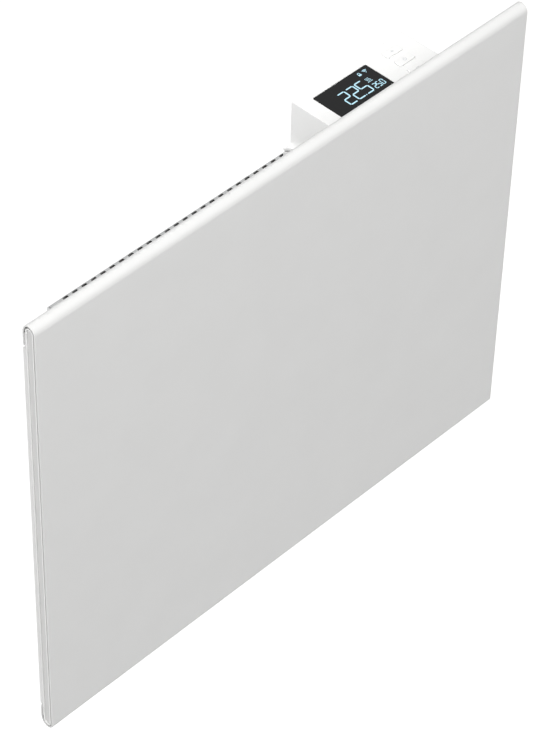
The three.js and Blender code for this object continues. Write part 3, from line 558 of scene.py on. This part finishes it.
def long_oval(inset):
    """The end cap's outline in Y, Z, drawn in by inset."""
    radius = (CAP_REAR - CAP_FRONT) / 2
    middle = (CAP_REAR + CAP_FRONT) / 2
    return [
        *arc(middle, CAP_TOP - radius, radius - inset, 0, 180, 24),
        *arc(middle, CAP_BOTTOM + radius, radius - inset, 180, 360, 24),
    ]


def cap_rim(outer_x, inward):
    recess = outer_x + inward * CAP_RECESS
    outlines = [long_oval(0), long_oval(CAP_RIM)]
    return [slab(outlines, "x", *sorted((outer_x, recess)), rim=0.15)]


def cap_face(outer_x, inward):
    recess, inner = outer_x + inward * CAP_RECESS, outer_x + inward * CAP_LENGTH
    return [slab([long_oval(0.02)], "x", *sorted((recess, inner)))]


def back_plate():
    """The plate between the returns: tucked in under them, stepped out level between them."""
    step = BACK_REAR - BACK_SHEET - BACK_TUCK
    low, high = BOTTOM_RETURN_END + 1, TOP_RETURN_END - 1
    tuck = BACK_TUCK + BACK_SHEET
    section = [
        (BACK_TUCK, BACK_TUCK_BOTTOM),
        (tuck, BACK_TUCK_BOTTOM),
        (tuck, low),
        (BACK_REAR, low + step),
        (BACK_REAR, high - step),
        (tuck, high),
        (tuck, BACK_TUCK_TOP),
        (BACK_TUCK, BACK_TUCK_TOP),
        (BACK_TUCK, high - BACK_SHEET / 2),
        (BACK_REAR - BACK_SHEET, high - step - BACK_SHEET / 2),
        (BACK_REAR - BACK_SHEET, low + step + BACK_SHEET / 2),
        (BACK_TUCK, low + BACK_SHEET / 2),
    ]
    left, right = BACK_INSET, PANEL_WIDTH - BACK_INSET
    inner = BACK_REAR - BACK_SHEET
    end_plate = [
        (BACK_TUCK, low + BACK_SHEET),
        (inner, low + step + BACK_SHEET / 2),
        (inner, high - step - BACK_SHEET / 2),
        (BACK_TUCK, high - BACK_SHEET),
    ]
    return [
        slab([section], "x", left, right, rim=0.1),
        slab([end_plate], "x", left, left + BACK_SHEET),
        slab([end_plate], "x", right - BACK_SHEET, right),
    ]


piece(
    "folded_panel",
    [slab([folded_section()], "x", 0, PANEL_WIDTH, rim=0.25)],
    PAINT,
    "heater",
    ["front_panel"],
)
for side, outer_x, inward in (("left", CAP_INSET, 1), ("right", PANEL_WIDTH - CAP_INSET, -1)):
    cap = [f"end_cap_{side}"]
    face, rim = cap_face(outer_x, inward), cap_rim(outer_x, inward)
    piece(f"{side}_cap", face, CAP_PAINT, "heater", cap)
    piece(f"{side}_cap_rim", rim, WHITE_ABS, "heater", cap)
piece("panel_back", back_plate(), PAINT, "heater", ["back_plate"])

# ----------------------------------------------------------------------------------------------
# Convection duct
# ----------------------------------------------------------------------------------------------


def slots(count, pitch, width, front, rear):
    middles = [SLOT_FIRST + i * pitch for i in range(count)]
    return [
        rounded(x - width / 2, x + width / 2, front, rear, SLOT_CORNER, 6)
        for x in middles
    ]


def grille(edge, lip_end, holes):
    """A slotted sheet at height edge, with a lip folded over its rear edge to lip_end."""
    up = 1 if edge > lip_end else -1
    inner = edge - up * DUCT_SHEET
    bend_y, bend_z = DUCT_REAR - DUCT_BEND, edge - up * DUCT_BEND
    flat = [
        (DUCT_INNER_LEFT, DUCT_FRONT),
        (DUCT_INNER_RIGHT, DUCT_FRONT),
        (DUCT_INNER_RIGHT, bend_y),
        (DUCT_INNER_LEFT, bend_y),
    ]
    lip = [
        (bend_y, inner),
        *arc(bend_y, bend_z, DUCT_BEND, 90 * up, 0, 10),
        (DUCT_REAR, lip_end),
        (DUCT_REAR - DUCT_SHEET, lip_end),
        *arc(bend_y, bend_z, DUCT_BEND - DUCT_SHEET, 0, 90 * up, 10)[:-1],
    ]
    return [
        slab([flat, *holes], "z", *sorted((edge, inner))),
        slab([lip], "x", DUCT_INNER_LEFT, DUCT_INNER_RIGHT),
    ]


def duct_side(side, outer_x):
    """A side sheet, with a flange turned outwards against the panel's back."""
    inner_x = outer_x - side * DUCT_SHEET
    wall = rounded(
        DUCT_FRONT, DUCT_REAR, DUCT_BOTTOM, DUCT_TOP, [0, DUCT_BEND, DUCT_BEND, 0], 8
    )
    x0, x1 = sorted((inner_x, outer_x + side * FLANGE_REACH))
    flange = rounded(x0, x1, DUCT_BOTTOM + FLANGE_SHORT, DUCT_TOP - FLANGE_SHORT, 0.4, 4)
    return [
        slab([wall], "x", *sorted((inner_x, outer_x)), rim=0.15),
        slab([flange], "y", DUCT_FRONT, DUCT_FRONT + DUCT_SHEET, rim=0.12),
    ]


def rear_sheet():
    holes = [circle(x, RIVET_HEIGHT, RIVET_HOLE) for x in RIVET_PLACES]
    outline = rounded(
        DUCT_INNER_LEFT,
        DUCT_INNER_RIGHT,
        DUCT_BOTTOM + DUCT_BEND + 1,
        DUCT_TOP - DUCT_BEND - 1,
        0.5,
    )
    return [
        slab([outline, *holes], "y", REAR_SHEET_REAR - DUCT_SHEET, REAR_SHEET_REAR, rim=0.1)
    ]


def cross_outline(u, v, arm, half):
    """A cross-head recess: two arms of the given reach and half width."""
    quarter = [(arm, half), (half, half), (half, arm)]
    points = []
    for _ in range(4):
        points += quarter
        quarter = [(-b, a) for a, b in quarter]
    return [(u + a, v + b) for a, b in points]


def pan_screw(x, z, seat_y):
    """A cross-head pan screw that points at the panel, its head on the duct's flange."""
    head = [(1.4, -5), (1.6, -3.8), (1.6, 0), (3.6, 0), (3.6, 1.0), (3.2, 1.7), (2.3, 2.2)]
    head_height, recess = 2.2, 1.1
    bm = bmesh.new()
    rings = []
    for radius, out in head:
        rings.append(ring(bm, [(u, seat_y + out, w) for u, w in circle(x, z, radius, 24)]))
    for lower, upper in zip(rings, rings[1:]):
        ring_faces(bm, lower, upper)
    bm.faces.new(rings[0])
    cross = cross_outline(x, z, 1.5, 0.35)
    mouth = ring(bm, [(u, seat_y + head_height, w) for u, w in cross])
    floor = ring(bm, [(u, seat_y + head_height - recess, w) for u, w in cross])
    fill(bm, rings[-1], mouth)
    ring_faces(bm, mouth, floor)
    fill(bm, floor)
    return [as_mesh(bm)]


def blind_rivet(x):
    """A domed rivet through the rear sheet and the hanger."""
    seat = REAR_SHEET_REAR - DUCT_SHEET - FIT
    dome = [(0, -1.4), (1.4, -1.36), (2.6, -1.0), (3.3, -0.5), (3.6, 0), (2, 0), (2, 3.2)]
    tail = [(3.2, 3.2), (3.1, 3.7), (2.6, 4.2), (1.0, 4.4), (0.9, 4.0), (0, 4.0)]
    return [turned(dome + tail, (0, 1, 0), (x, seat, RIVET_HEIGHT), 32)]


def hanger(middle):
    """A hook on the duct's rear sheet that drops behind the rail's lip."""
    front, rear, seat = REAR_SHEET_REAR + FIT, HANGER_REAR, HANGER_SEAT
    inner_front, inner_rear, chamfer = front + HANGER_SHEET, rear - HANGER_SHEET, 0.6
    crown = seat + HANGER_SHEET - HANGER_BEND
    section = [
        (front, seat - HANGER_DROP),
        (inner_front, seat - HANGER_DROP),
        (inner_front, seat - chamfer),
        (inner_front + chamfer, seat),
        (inner_rear - chamfer, seat),
        (inner_rear, seat - chamfer),
        (inner_rear, seat - HANGER_TONGUE),
        (rear, seat - HANGER_TONGUE),
        *arc(rear - HANGER_BEND, crown, HANGER_BEND, 0, 90, 8),
        *arc(front + HANGER_BEND, crown, HANGER_BEND, 90, 180, 8),
    ]
    half = HANGER_WIDTH / 2
    return [slab([section], "x", middle - half, middle + half, rim=0.2)]


outlets = slots(TOP_SLOTS, SLOT_PITCH, SLOT_WIDTH, TOP_SLOT_FRONT, TOP_SLOT_REAR)
outlets.append(rounded(*LEAD_SLOT))
outlets += [circle(*place, POST_BORE, 24) for place in POSTS]
inlets = slots(
    FLOOR_SLOTS, 2 * SLOT_PITCH, FLOOR_SLOT_WIDTH, FLOOR_SLOT_FRONT, FLOOR_SLOT_REAR
)
inlets += [circle(*GLAND_PLACE, 8.3), circle(*SENSOR_PLACE, 4.3)]

for name, sheet, cad_node in (
    ("outlet_grille", grille(DUCT_TOP, DUCT_TOP - DUCT_LIP, outlets), "duct_top_grille"),
    ("inlet_grille", grille(DUCT_BOTTOM, DUCT_BOTTOM + DUCT_LIP, inlets), "duct_bottom_grille"),
    ("duct_back", rear_sheet(), "duct_rear_sheet"),
    ("duct_side_left", duct_side(-1, DUCT_LEFT), "duct_end_left"),
    ("duct_side_right", duct_side(1, DUCT_RIGHT), "duct_end_right"),
):
    piece(name, sheet, CASING_ZINC, "heater", [cad_node])
for i, (x, z) in enumerate(FLANGE_SCREWS, 1):
    seat_y = DUCT_FRONT + DUCT_SHEET + FIT
    screw = pan_screw(x, z, seat_y)
    piece(f"flange_screw_{i}", screw, STEEL, "heater", [f"duct_screw_{i}"])
for side, middle in HANGER_MIDDLES.items():
    piece(f"hook_{side}", hanger(middle), ZINC, "heater", [f"hanger_{side}"])
for i, x in enumerate(RIVET_PLACES, 1):
    piece(f"rivet_{i}", blind_rivet(x), ALUMINIUM, "heater", [f"hanger_rivet_{i}"])

# ----------------------------------------------------------------------------------------------
# Cable gland, room sensor and heating element
# ----------------------------------------------------------------------------------------------


def gland():
    """A flanged bush in the duct's floor where the mains lead enters."""
    profile = [
        (GLAND_BORE, -8.6),
        (4.6, -9),
        (6.2, -9),
        (6.5, -8.7),
        (8, -7),
        (10.2, -3.2),
        (10.5, -2.8),
        (10.5, -0.5),
        (10.3, -0.3),
        (8, -0.3),
        (8, 8.7),
        (7.7, 9),
        (GLAND_BORE, 9),
        (GLAND_BORE, -8.6),
    ]
    return [turned(profile, (0, 0, 1), (*GLAND_PLACE, DUCT_BOTTOM))]


def sensor():
    """The room sensor's bead, snapped into the duct's floor."""
    profile = [(0, -6), (1.4, -5.8), (2.4, -5.1), (3.1, -3.6), (3.8, -2.3), (5.8, -2.3)]
    profile += [(6, -2.1), (6, -0.3), (4, -0.3), (4, 5.8), (3.8, 6), (0, 6)]
    return [turned(profile, (0, 0, 1), (*SENSOR_PLACE, DUCT_BOTTOM))]


piece("mains_gland", gland(), BLACK_POLYAMIDE, "heater", ["cable_gland"])
piece("sensor_bead", sensor(), WHITE_ABS, "heater", ["room_sensor"])

# ----------------------------------------------------------------------------------------------
# Control unit
# ----------------------------------------------------------------------------------------------


def wall(depth):
    """The left wall's place, the same at every depth."""
    return UNIT_LEFT


def ledge(depth):
    """The foot's left side: a ledge along the wall that widens to a tip at the rear."""
    to_tip = max(1 - (UNIT_REAR - depth) / FOOT_RUN, 0)
    return UNIT_LEFT - FOOT_REACH - (FOOT_TIP - FOOT_REACH) * to_tip


def flare(depth, height):
    """The left side's place above the foot: a hollow sweep that dies out at the rear edge."""
    forward = min((UNIT_REAR - depth) / FLARE_RUN, 1)
    share = forward * forward * (3 - 2 * forward)
    reach, top = 0.1 + (FOOT_REACH - 0.2) * share, 0.3 + (FLARE_HEIGHT - 0.3) * share
    drop = max(1 - height / top, 0)
    return UNIT_LEFT - reach * (1 - math.sqrt(1 - drop * drop))


def unit_plan(left, inset=0.0):
    """The unit's outline seen from above; left gives its left side's place at a depth."""
    front, rear = UNIT_FRONT + inset, UNIT_REAR - inset
    corners = [0, UNIT_CORNER, UNIT_CORNER, 0]
    right_side = rounded(UNIT_LEFT, UNIT_RIGHT - inset, front, rear, corners)[1:-1]
    edge, run = UNIT_EDGE, rear - front - 2 * UNIT_EDGE
    left_side = [(edge, rear), (0.3 * edge, rear - 0.3 * edge)]
    left_side += [(0, rear - edge - run * (i / 32) ** 1.5) for i in range(33)]
    left_side += [(0.3 * edge, front + 0.3 * edge), (edge, front)]
    return right_side + [(left(v) + inset + u, v) for u, v in left_side]


def window(grow):
    x0, x1, y0, y1 = DISPLAY
    edge = FIT + grow
    return rounded(x0 - edge, x1 + edge, y0 - edge, y1 + edge, DISPLAY_CORNER + edge)


def button_hole(middle, grow):
    edge = FIT + grow
    half = BUTTON_DEPTH / 2 + edge
    return rounded(
        BUTTON_LEFT - edge, BUTTON_RIGHT + edge, middle - half, middle + half, 1 + edge
    )


def post(place, radius, bore, bottom, top):
    """A moulded tube for a screw."""
    return slab([circle(*place, radius, 24), circle(*place, bore, 24)], "z", bottom, top)


def unit_housing():
    """The moulded housing: hollow, flared down to its foot, with openings in its roof."""
    ceiling = UNIT_TOP - UNIT_ROOF
    levels = [
        (unit_plan(wall, UNIT_WALL), ceiling),
        (unit_plan(wall, UNIT_WALL), COLLAR_SPLIT),
        (unit_plan(ledge, 0.2), COLLAR_SPLIT),
        (unit_plan(ledge), COLLAR_SPLIT + 0.2),
        (unit_plan(ledge), COLLAR_TOP - 0.2),
        (unit_plan(lambda v: ledge(v) + 0.2), COLLAR_TOP),
    ]
    for i in range(17):
        height = FLARE_HEIGHT * (1 - math.cos(math.radians(90 * i / 16)))
        levels.append((unit_plan(lambda v: flare(v, height)), COLLAR_TOP + height))
    for i in range(6):
        a = math.radians(90 * i / 5)
        height = UNIT_TOP - UNIT_EDGE * (1 - math.sin(a))
        levels.append((unit_plan(wall, UNIT_EDGE * (1 - math.cos(a))), height))

    bm = bmesh.new()
    skin = stack(bm, levels)
    x0, x1, y0, y1 = DISPLAY
    sight = rounded(
        x0 + GLASS_LEDGE, x1 - GLASS_LEDGE, y0 + GLASS_LEDGE, y1 - GLASS_LEDGE, 0.6
    )
    holes = [
        stack(
            bm,
            [
                (window(0.15), UNIT_TOP),
                (window(0.04), UNIT_TOP - 0.04),
                (window(0), UNIT_TOP - 0.15),
                (window(0), UNIT_TOP - GLASS_SEAT),
                (sight, UNIT_TOP - GLASS_SEAT),
                (sight, ceiling),
            ],
        )
    ]
    for middle in BUTTON_ROWS.values():
        holes.append(
            stack(
                bm,
                [
                    (button_hole(middle, 0.15), UNIT_TOP),
                    (button_hole(middle, 0.04), UNIT_TOP - 0.04),
                    (button_hole(middle, 0), UNIT_TOP - 0.15),
                    (button_hole(middle, 0), ceiling),
                ],
            )
        )
    fill(bm, skin[-1], *[hole[0] for hole in holes])
    fill(bm, skin[0], *[hole[-1] for hole in holes])
    posts = [
        post(place, POST_RADIUS, POST_BORE, COLLAR_SPLIT, ceiling + 0.1) for place in POSTS
    ]
    posts += [
        post(place, BOARD_POST_RADIUS, BOARD_POST_BORE, BOARD_POST_END, ceiling + 0.1)
        for place in BOARD_POSTS
    ]
    return [as_mesh(bm), *posts]


def unit_base():
    """The tray under the housing, with bosses for its screws and pegs for the power board."""
    bm = bmesh.new()
    skin = stack(
        bm,
        [
            (unit_plan(ledge, 0.15), BASE_BOTTOM),
            (unit_plan(ledge), BASE_BOTTOM + 0.15),
            (unit_plan(ledge), BASE_TOP - 0.15),
            (unit_plan(ledge, 0.15), BASE_TOP),
            (unit_plan(ledge, 1.0), BASE_TOP - 1.2),
            (unit_plan(wall, UNIT_WALL), BASE_FLOOR),
        ],
    )
    outlines = [circle(*place, POST_BORE, 24) for place in POSTS] + [rounded(*LEAD_SLOT)]
    holes = [stack(bm, [(o, BASE_BOTTOM), (o, BASE_FLOOR)]) for o in outlines]
    fill(bm, skin[0], *[hole[0] for hole in holes])
    fill(bm, skin[-1], *[hole[-1] for hole in holes])
    bosses = [post(place, POST_RADIUS, POST_BORE, BASE_FLOOR, BASE_TOP) for place in POSTS]
    pegs = [
        slab([circle(*place, PEG_RADIUS, 24)], "z", BASE_FLOOR - 0.2, PEG_TOP, rim=0.2)
        for place in PEGS
    ]
    return [as_mesh(bm), *bosses, *pegs]


def push_button(middle):
    """A button cap with a softened edge, its keeper under the roof and its stem."""
    half = BUTTON_DEPTH / 2

    def outline(inset, corner):
        return rounded(
            BUTTON_LEFT + inset,
            BUTTON_RIGHT - inset,
            middle - half + inset,
            middle + half - inset,
            corner,
        )

    bm = bmesh.new()
    shoulder = BUTTON_TOP - BUTTON_EDGE
    levels = [(outline(0, BUTTON_CORNER), BUTTON_BOTTOM), (outline(0, BUTTON_CORNER), shoulder)]
    for i in range(1, 5):
        a = math.radians(90 * i / 4)
        inset = BUTTON_EDGE * (1 - math.cos(a))
        levels.append((outline(inset, BUTTON_CORNER - inset), shoulder + BUTTON_EDGE * math.sin(a)))
    cap = stack(bm, levels)
    bm.faces.new(cap[0])
    bm.faces.new(cap[-1])
    keeper = outline(-KEEPER_MARGIN, 0.8)
    stem = circle((BUTTON_LEFT + BUTTON_RIGHT) / 2, middle, STEM_RADIUS, 24)
    return [
        as_mesh(bm),
        slab([keeper], "z", KEEPER_BOTTOM, KEEPER_TOP, rim=0.1),
        slab([stem], "z", STEM_END, STEM_TOP, rim=0.1),
    ]


def stroke(points, width):
    """A line of even width through points, as a closed outline."""
    left, right = [], []
    for i, (u, v) in enumerate(points):
        before = Vector(points[max(i - 1, 0)])
        after = Vector(points[min(i + 1, len(points) - 1)])
        along = (after - before).normalized()
        left.append((u - along.y * width / 2, v + along.x * width / 2))
        right.append((u + along.y * width / 2, v - along.x * width / 2))
    return left + right[::-1]


def button_sign(name, middle):
    """The mark on a button: plus, a ring with a stroke in its gap, or minus."""
    u, v = (BUTTON_LEFT + BUTTON_RIGHT) / 2, middle
    reach, half = SIGN_REACH, SIGN_HALF
    if name == "plus":
        return [cross_outline(u, v, reach, half)]
    if name == "minus":
        return [rounded(u - reach, u + reach, v - half, v + half, 0)]
    return [
        stroke(arc(u, v, reach - half, 125, 415, 28), 2 * half),
        stroke([(u, v + 0.2), (u, v + 1.9)], 2 * half),
    ]


piece(
    "unit_housing",
    unit_housing(),
    WHITE_ABS,
    "heater",
    ["control_housing"],
)
piece("unit_base", unit_base(), WHITE_ABS, "heater", ["control_base"])
piece(
    "display_cover",
    [
        slab(
            [rounded(*DISPLAY, DISPLAY_CORNER)], "z", GLASS_TOP - GLASS_SHEET, GLASS_TOP, rim=0.1
        )
    ],
    ACRYLIC,
    "heater",
    ["display_glass"],
)
for name, middle in BUTTON_ROWS.items():
    body = f"button_{name}"
    piece(f"{name}_button", push_button(middle), BUTTON_ABS, body, [body])
    sign = slab(button_sign(name, middle), "z", BUTTON_TOP, BUTTON_TOP + PRINT)
    piece(f"{name}_sign", [sign], INK, body)

# ----------------------------------------------------------------------------------------------
# What the display shows: the room's and the set temperature, and three small signs
# ----------------------------------------------------------------------------------------------

SEGMENTS = {"0": "abcdef", "2": "abged", "5": "afgcd"}
ROOM_SIZE = {"width": 7.45, "height": 14.6, "line": 1.1}
SET_SIZE = {"width": 3.05, "height": 6.1, "line": 0.7}
DIGITS = [  # value, left, bottom, size
    ("2", 324.8, 29.85, ROOM_SIZE),
    ("2", 333.3, 29.85, ROOM_SIZE),
    ("5", 341.7, 29.85, ROOM_SIZE),
    ("2", 351.05, 29.65, SET_SIZE),
    ("5", 354.2, 29.65, SET_SIZE),
    ("0", 357.95, 29.65, SET_SIZE),
]
DECIMAL_POINTS = [(341.0, 30.4, 0.5), (357.6, 30.0, 0.25)]


def digit(value, left, bottom, width, height, line):
    """The lit segments of one seven-segment figure, with pointed ends."""
    right, top, middle = left + width, bottom + height, bottom + height / 2
    h = line / 2
    ends = {
        "a": ((left + h, top - h), (right - h, top - h)),
        "b": ((right - h, top - h), (right - h, middle)),
        "c": ((right - h, middle), (right - h, bottom + h)),
        "d": ((left + h, bottom + h), (right - h, bottom + h)),
        "e": ((left + h, middle), (left + h, bottom + h)),
        "f": ((left + h, top - h), (left + h, middle)),
        "g": ((left + h, middle), (right - h, middle)),
    }
    shapes = []
    for key in SEGMENTS[value]:
        a, b = (Vector(p) for p in ends[key])
        along = (b - a).normalized()
        across = Vector((-along.y, along.x)) * h
        tip = along * (0.05 + h * 0.15)
        body = along * (h + 0.05)
        points = [a + tip, a + body + across, b - body + across, b - tip]
        points += [b - body - across, a + body - across]
        shapes.append([tuple(p) for p in points])
    return shapes


def wave(u, bottom, height, swing):
    return [
        (u + swing * math.sin(2 * math.pi * i / 16), bottom + height * i / 16)
        for i in range(17)
    ]


def heat_sign():
    """Three waves of rising heat over a line."""
    left, base, pitch = 352.2, 38.6, 1.3
    waves = [stroke(wave(left + i * pitch, base + 0.8, 3.6, 0.35), 0.4) for i in range(3)]
    return [*waves, stroke([(left - 1, base), (left + 3.6, base)], 0.45)]


def padlock():
    middle, shoulder, bow = 353.1, 48.8, 0.85
    body = rounded(middle - 1.3, middle + 1.3, shoulder - 1.4, shoulder, 0.3, 3)
    shackle = [(middle - bow, shoulder)]
    shackle += arc(middle, shoulder + 1, bow, 180, 0, 8)
    shackle += [(middle + bow, shoulder)]
    return [body, stroke(shackle, 0.5)]


def signal_sign():
    """A dot with three arcs over it."""
    place = (358.8, 47.7)
    arcs = [stroke(arc(*place, radius, 132, 48, 10), 0.45) for radius in (1.3, 2.1, 2.9)]
    return [circle(*place, 0.4, 12), *arcs]


def display_figures():
    shapes = [circle(*point, 12) for point in DECIMAL_POINTS]
    for value, left, bottom, size in DIGITS:
        shapes += digit(value, left, bottom, **size)
    shapes += heat_sign() + padlock() + signal_sign()
    return slab(shapes, "z", GLASS_TOP, GLASS_TOP + PRINT)


piece("display_figures", [display_figures()], FIGURES, "heater")

# ----------------------------------------------------------------------------------------------
# Wall bracket
# ----------------------------------------------------------------------------------------------

RAIL_LENGTH, RAIL_SHEET, RAIL_REACH = 260.0, 1.5, 11.0
RAIL_TOP, RAIL_BOTTOM, RAIL_LIP_TOP = 18.0, -18.0, -6.0
STRIP_PLACES = {"left": -105.0, "right": 105.0}
STRIP_WIDTH, STRIP_TOP, STRIP_BOTTOM = 24.0, -18.3, -190.0
STRIP_REACH, STRIP_LIP = 18.9, 24.0
BRACKET_BEND, BRACKET_SEAM = 2.0, 3.0  # the seam is where the flat meets the bent part
RAIL_HOLES, RAIL_HOLE_HEIGHT = (-110.0, -40.0, 40.0, 110.0), 8.0
STRIP_HOLE_UP, HOLE_RADIUS = 40.0, 3.0
PAD_FRONT, PAD_REAR = -21.2, -19.2
PAD_WIDTH, PAD_LOW, PAD_HIGH = 18.0, 3.0, 21.0  # its height is from the strip's bottom


def bent_strip(bottom, reach, lip_top):
    """A sheet's section bent forwards at its bottom and up again, from just above the bend."""
    outer, inner = BRACKET_BEND, BRACKET_BEND - RAIL_SHEET
    rear_bend, front_bend = (-outer, bottom + outer), (-reach + outer, bottom + outer)
    return [
        (-RAIL_SHEET, bottom + BRACKET_SEAM),
        (0, bottom + BRACKET_SEAM),
        *arc(*rear_bend, outer, 0, -90, 8),
        *arc(*front_bend, outer, 270, 180, 8),
        (-reach, lip_top),
        (-reach + RAIL_SHEET, lip_top),
        *arc(*front_bend, inner, 180, 270, 8),
        *arc(*rear_bend, inner, -90, 0, 8),
    ]


def rail():
    holes = [circle(x, RAIL_HOLE_HEIGHT, HOLE_RADIUS) for x in RAIL_HOLES]
    half = RAIL_LENGTH / 2
    flat = rounded(-half, half, RAIL_BOTTOM + BRACKET_SEAM, RAIL_TOP, [0, 0, 3, 3])
    section = bent_strip(RAIL_BOTTOM, RAIL_REACH, RAIL_LIP_TOP)
    return [
        slab([flat, *holes], "y", -RAIL_SHEET, 0, origin=BRACKET),
        slab([section], "x", -half, half, origin=BRACKET),
    ]


def strip(middle):
    half = STRIP_WIDTH / 2
    flat = rounded(middle - half, middle + half, STRIP_BOTTOM + BRACKET_SEAM, STRIP_TOP, 0)
    hole = circle(middle, STRIP_BOTTOM + STRIP_HOLE_UP, HOLE_RADIUS)
    section = bent_strip(STRIP_BOTTOM, STRIP_REACH, STRIP_BOTTOM + STRIP_LIP)
    return [
        slab([flat, hole], "y", -RAIL_SHEET, 0, origin=BRACKET),
        slab([section], "x", middle - half, middle + half, origin=BRACKET),
    ]


piece("wall_rail", rail(), ZINC, "wall_bracket", ["hanging_rail"])
for side, middle in STRIP_PLACES.items():
    piece(
        f"wall_strip_{side}",
        strip(middle),
        ZINC,
        "wall_bracket",
        [f"bracket_upright_{side}"],
    )
    left, right = middle - PAD_WIDTH / 2, middle + PAD_WIDTH / 2
    pad = rounded(left, right, STRIP_BOTTOM + PAD_LOW, STRIP_BOTTOM + PAD_HIGH, 2)
    piece(
        f"rubber_pad_{side}",
        [slab([pad], "y", PAD_FRONT, PAD_REAR, rim=0.4, origin=BRACKET)],
        RUBBER,
        "wall_bracket",
        [f"spacer_pad_{side}"],
    )

# ----------------------------------------------------------------------------------------------
# Light, floor and background
# ----------------------------------------------------------------------------------------------

FLOOR_LEVEL = -1.8
FLOOR_REACH = 30.0
FLOOR_LIFT = 0.7  # with the lamps on it, this brings the floor up to white
DOME_STRENGTH = 0.3
SOFTBOXES = {
    "overhead softbox": {"place": (-0.4, -1.0, 3.0), "size": 1.4, "power": 50},
    "front softbox": {"place": (-0.6, -3.0, 2.6), "size": 2.4, "power": 63},
    "side softbox": {"place": (-3.2, 0.8, 1.2), "size": 2.0, "power": 54},
    "low rear softbox": {"place": (0.5, 1.2, -1.6), "size": 1.2, "power": 6},
}


def softbox(name, place, size, power):
    data = bpy.data.lights.new(name, "AREA")
    data.size = size
    data.energy = power
    lamp = bpy.data.objects.new(name, data)
    lamp.location = place
    lamp.rotation_mode = "QUATERNION"
    lamp.rotation_quaternion = (-Vector(place)).to_track_quat("-Z", "Y")
    bpy.context.scene.collection.objects.link(lamp)


def sees_background(tree):
    """1 for the rays that show the background: straight, mirrored or through glass."""
    path = node(tree, "ShaderNodeLightPath")
    seen = path.outputs["Is Camera Ray"]
    for ray in ("Is Glossy Ray", "Is Transmission Ray"):
        either = node(
            tree, "ShaderNodeMath", {0: seen, 1: path.outputs[ray]}, operation="MAXIMUM"
        )
        seen = either.outputs["Value"]
    return seen


def studio_floor():
    """A pale floor that the background light lifts to white, and that still takes a shadow."""
    bm = bmesh.new()
    corners = [(-1, -1), (1, -1), (1, 1), (-1, 1)]
    bm.faces.new(
        [bm.verts.new((x * FLOOR_REACH, y * FLOOR_REACH, FLOOR_LEVEL)) for x, y in corners]
    )
    floor = bpy.data.objects.new("studio_floor", as_mesh(bm))
    bpy.context.scene.collection.objects.link(floor)
    paper, tree, shader = finish(
        "pale studio paper", Roughness=0.9, IOR=1.3, Emission_Color=(1, 1, 1, 1)
    )
    place = node(tree, "ShaderNodeTexCoord").outputs["Object"]
    clouds = node(
        tree, "ShaderNodeTexNoise", {"Vector": place, "Scale": 1 / (900 * MM), "Detail": 2.0}
    )
    shade = node(
        tree,
        "ShaderNodeMix",
        {"Factor": clouds.outputs["Fac"], "A": colour("#DADADA"), "B": colour("#DDDDDD")},
        data_type="RGBA",
    )
    tree.links.new(shade.outputs["Result"], shader.inputs["Base Color"])
    lift = node(
        tree, "ShaderNodeMath", {0: sees_background(tree), 1: FLOOR_LIFT}, operation="MULTIPLY"
    )
    tree.links.new(lift.outputs["Value"], shader.inputs["Emission Strength"])
    floor.data.materials.append(paper)


def studio_world():
    """White behind the object and in its reflections; an even dome lights it."""
    world = bpy.data.worlds.new("studio")
    bpy.context.scene.world = world
    world.use_nodes = True
    tree = world.node_tree
    tree.nodes.clear()
    strength = node(
        tree,
        "ShaderNodeMapRange",
        {"Value": sees_background(tree), "To Min": DOME_STRENGTH, "To Max": 1.0},
    )
    dome = node(
        tree,
        "ShaderNodeBackground",
        {"Strength": strength.outputs["Result"], "Color": (1, 1, 1, 1)},
    )
    node(tree, "ShaderNodeOutputWorld", {"Surface": dome.outputs["Background"]})


for lamp_name, lamp_values in SOFTBOXES.items():
    softbox(lamp_name, **lamp_values)
studio_floor()
studio_world()
bpy.context.scene.view_settings.view_transform = "Standard"
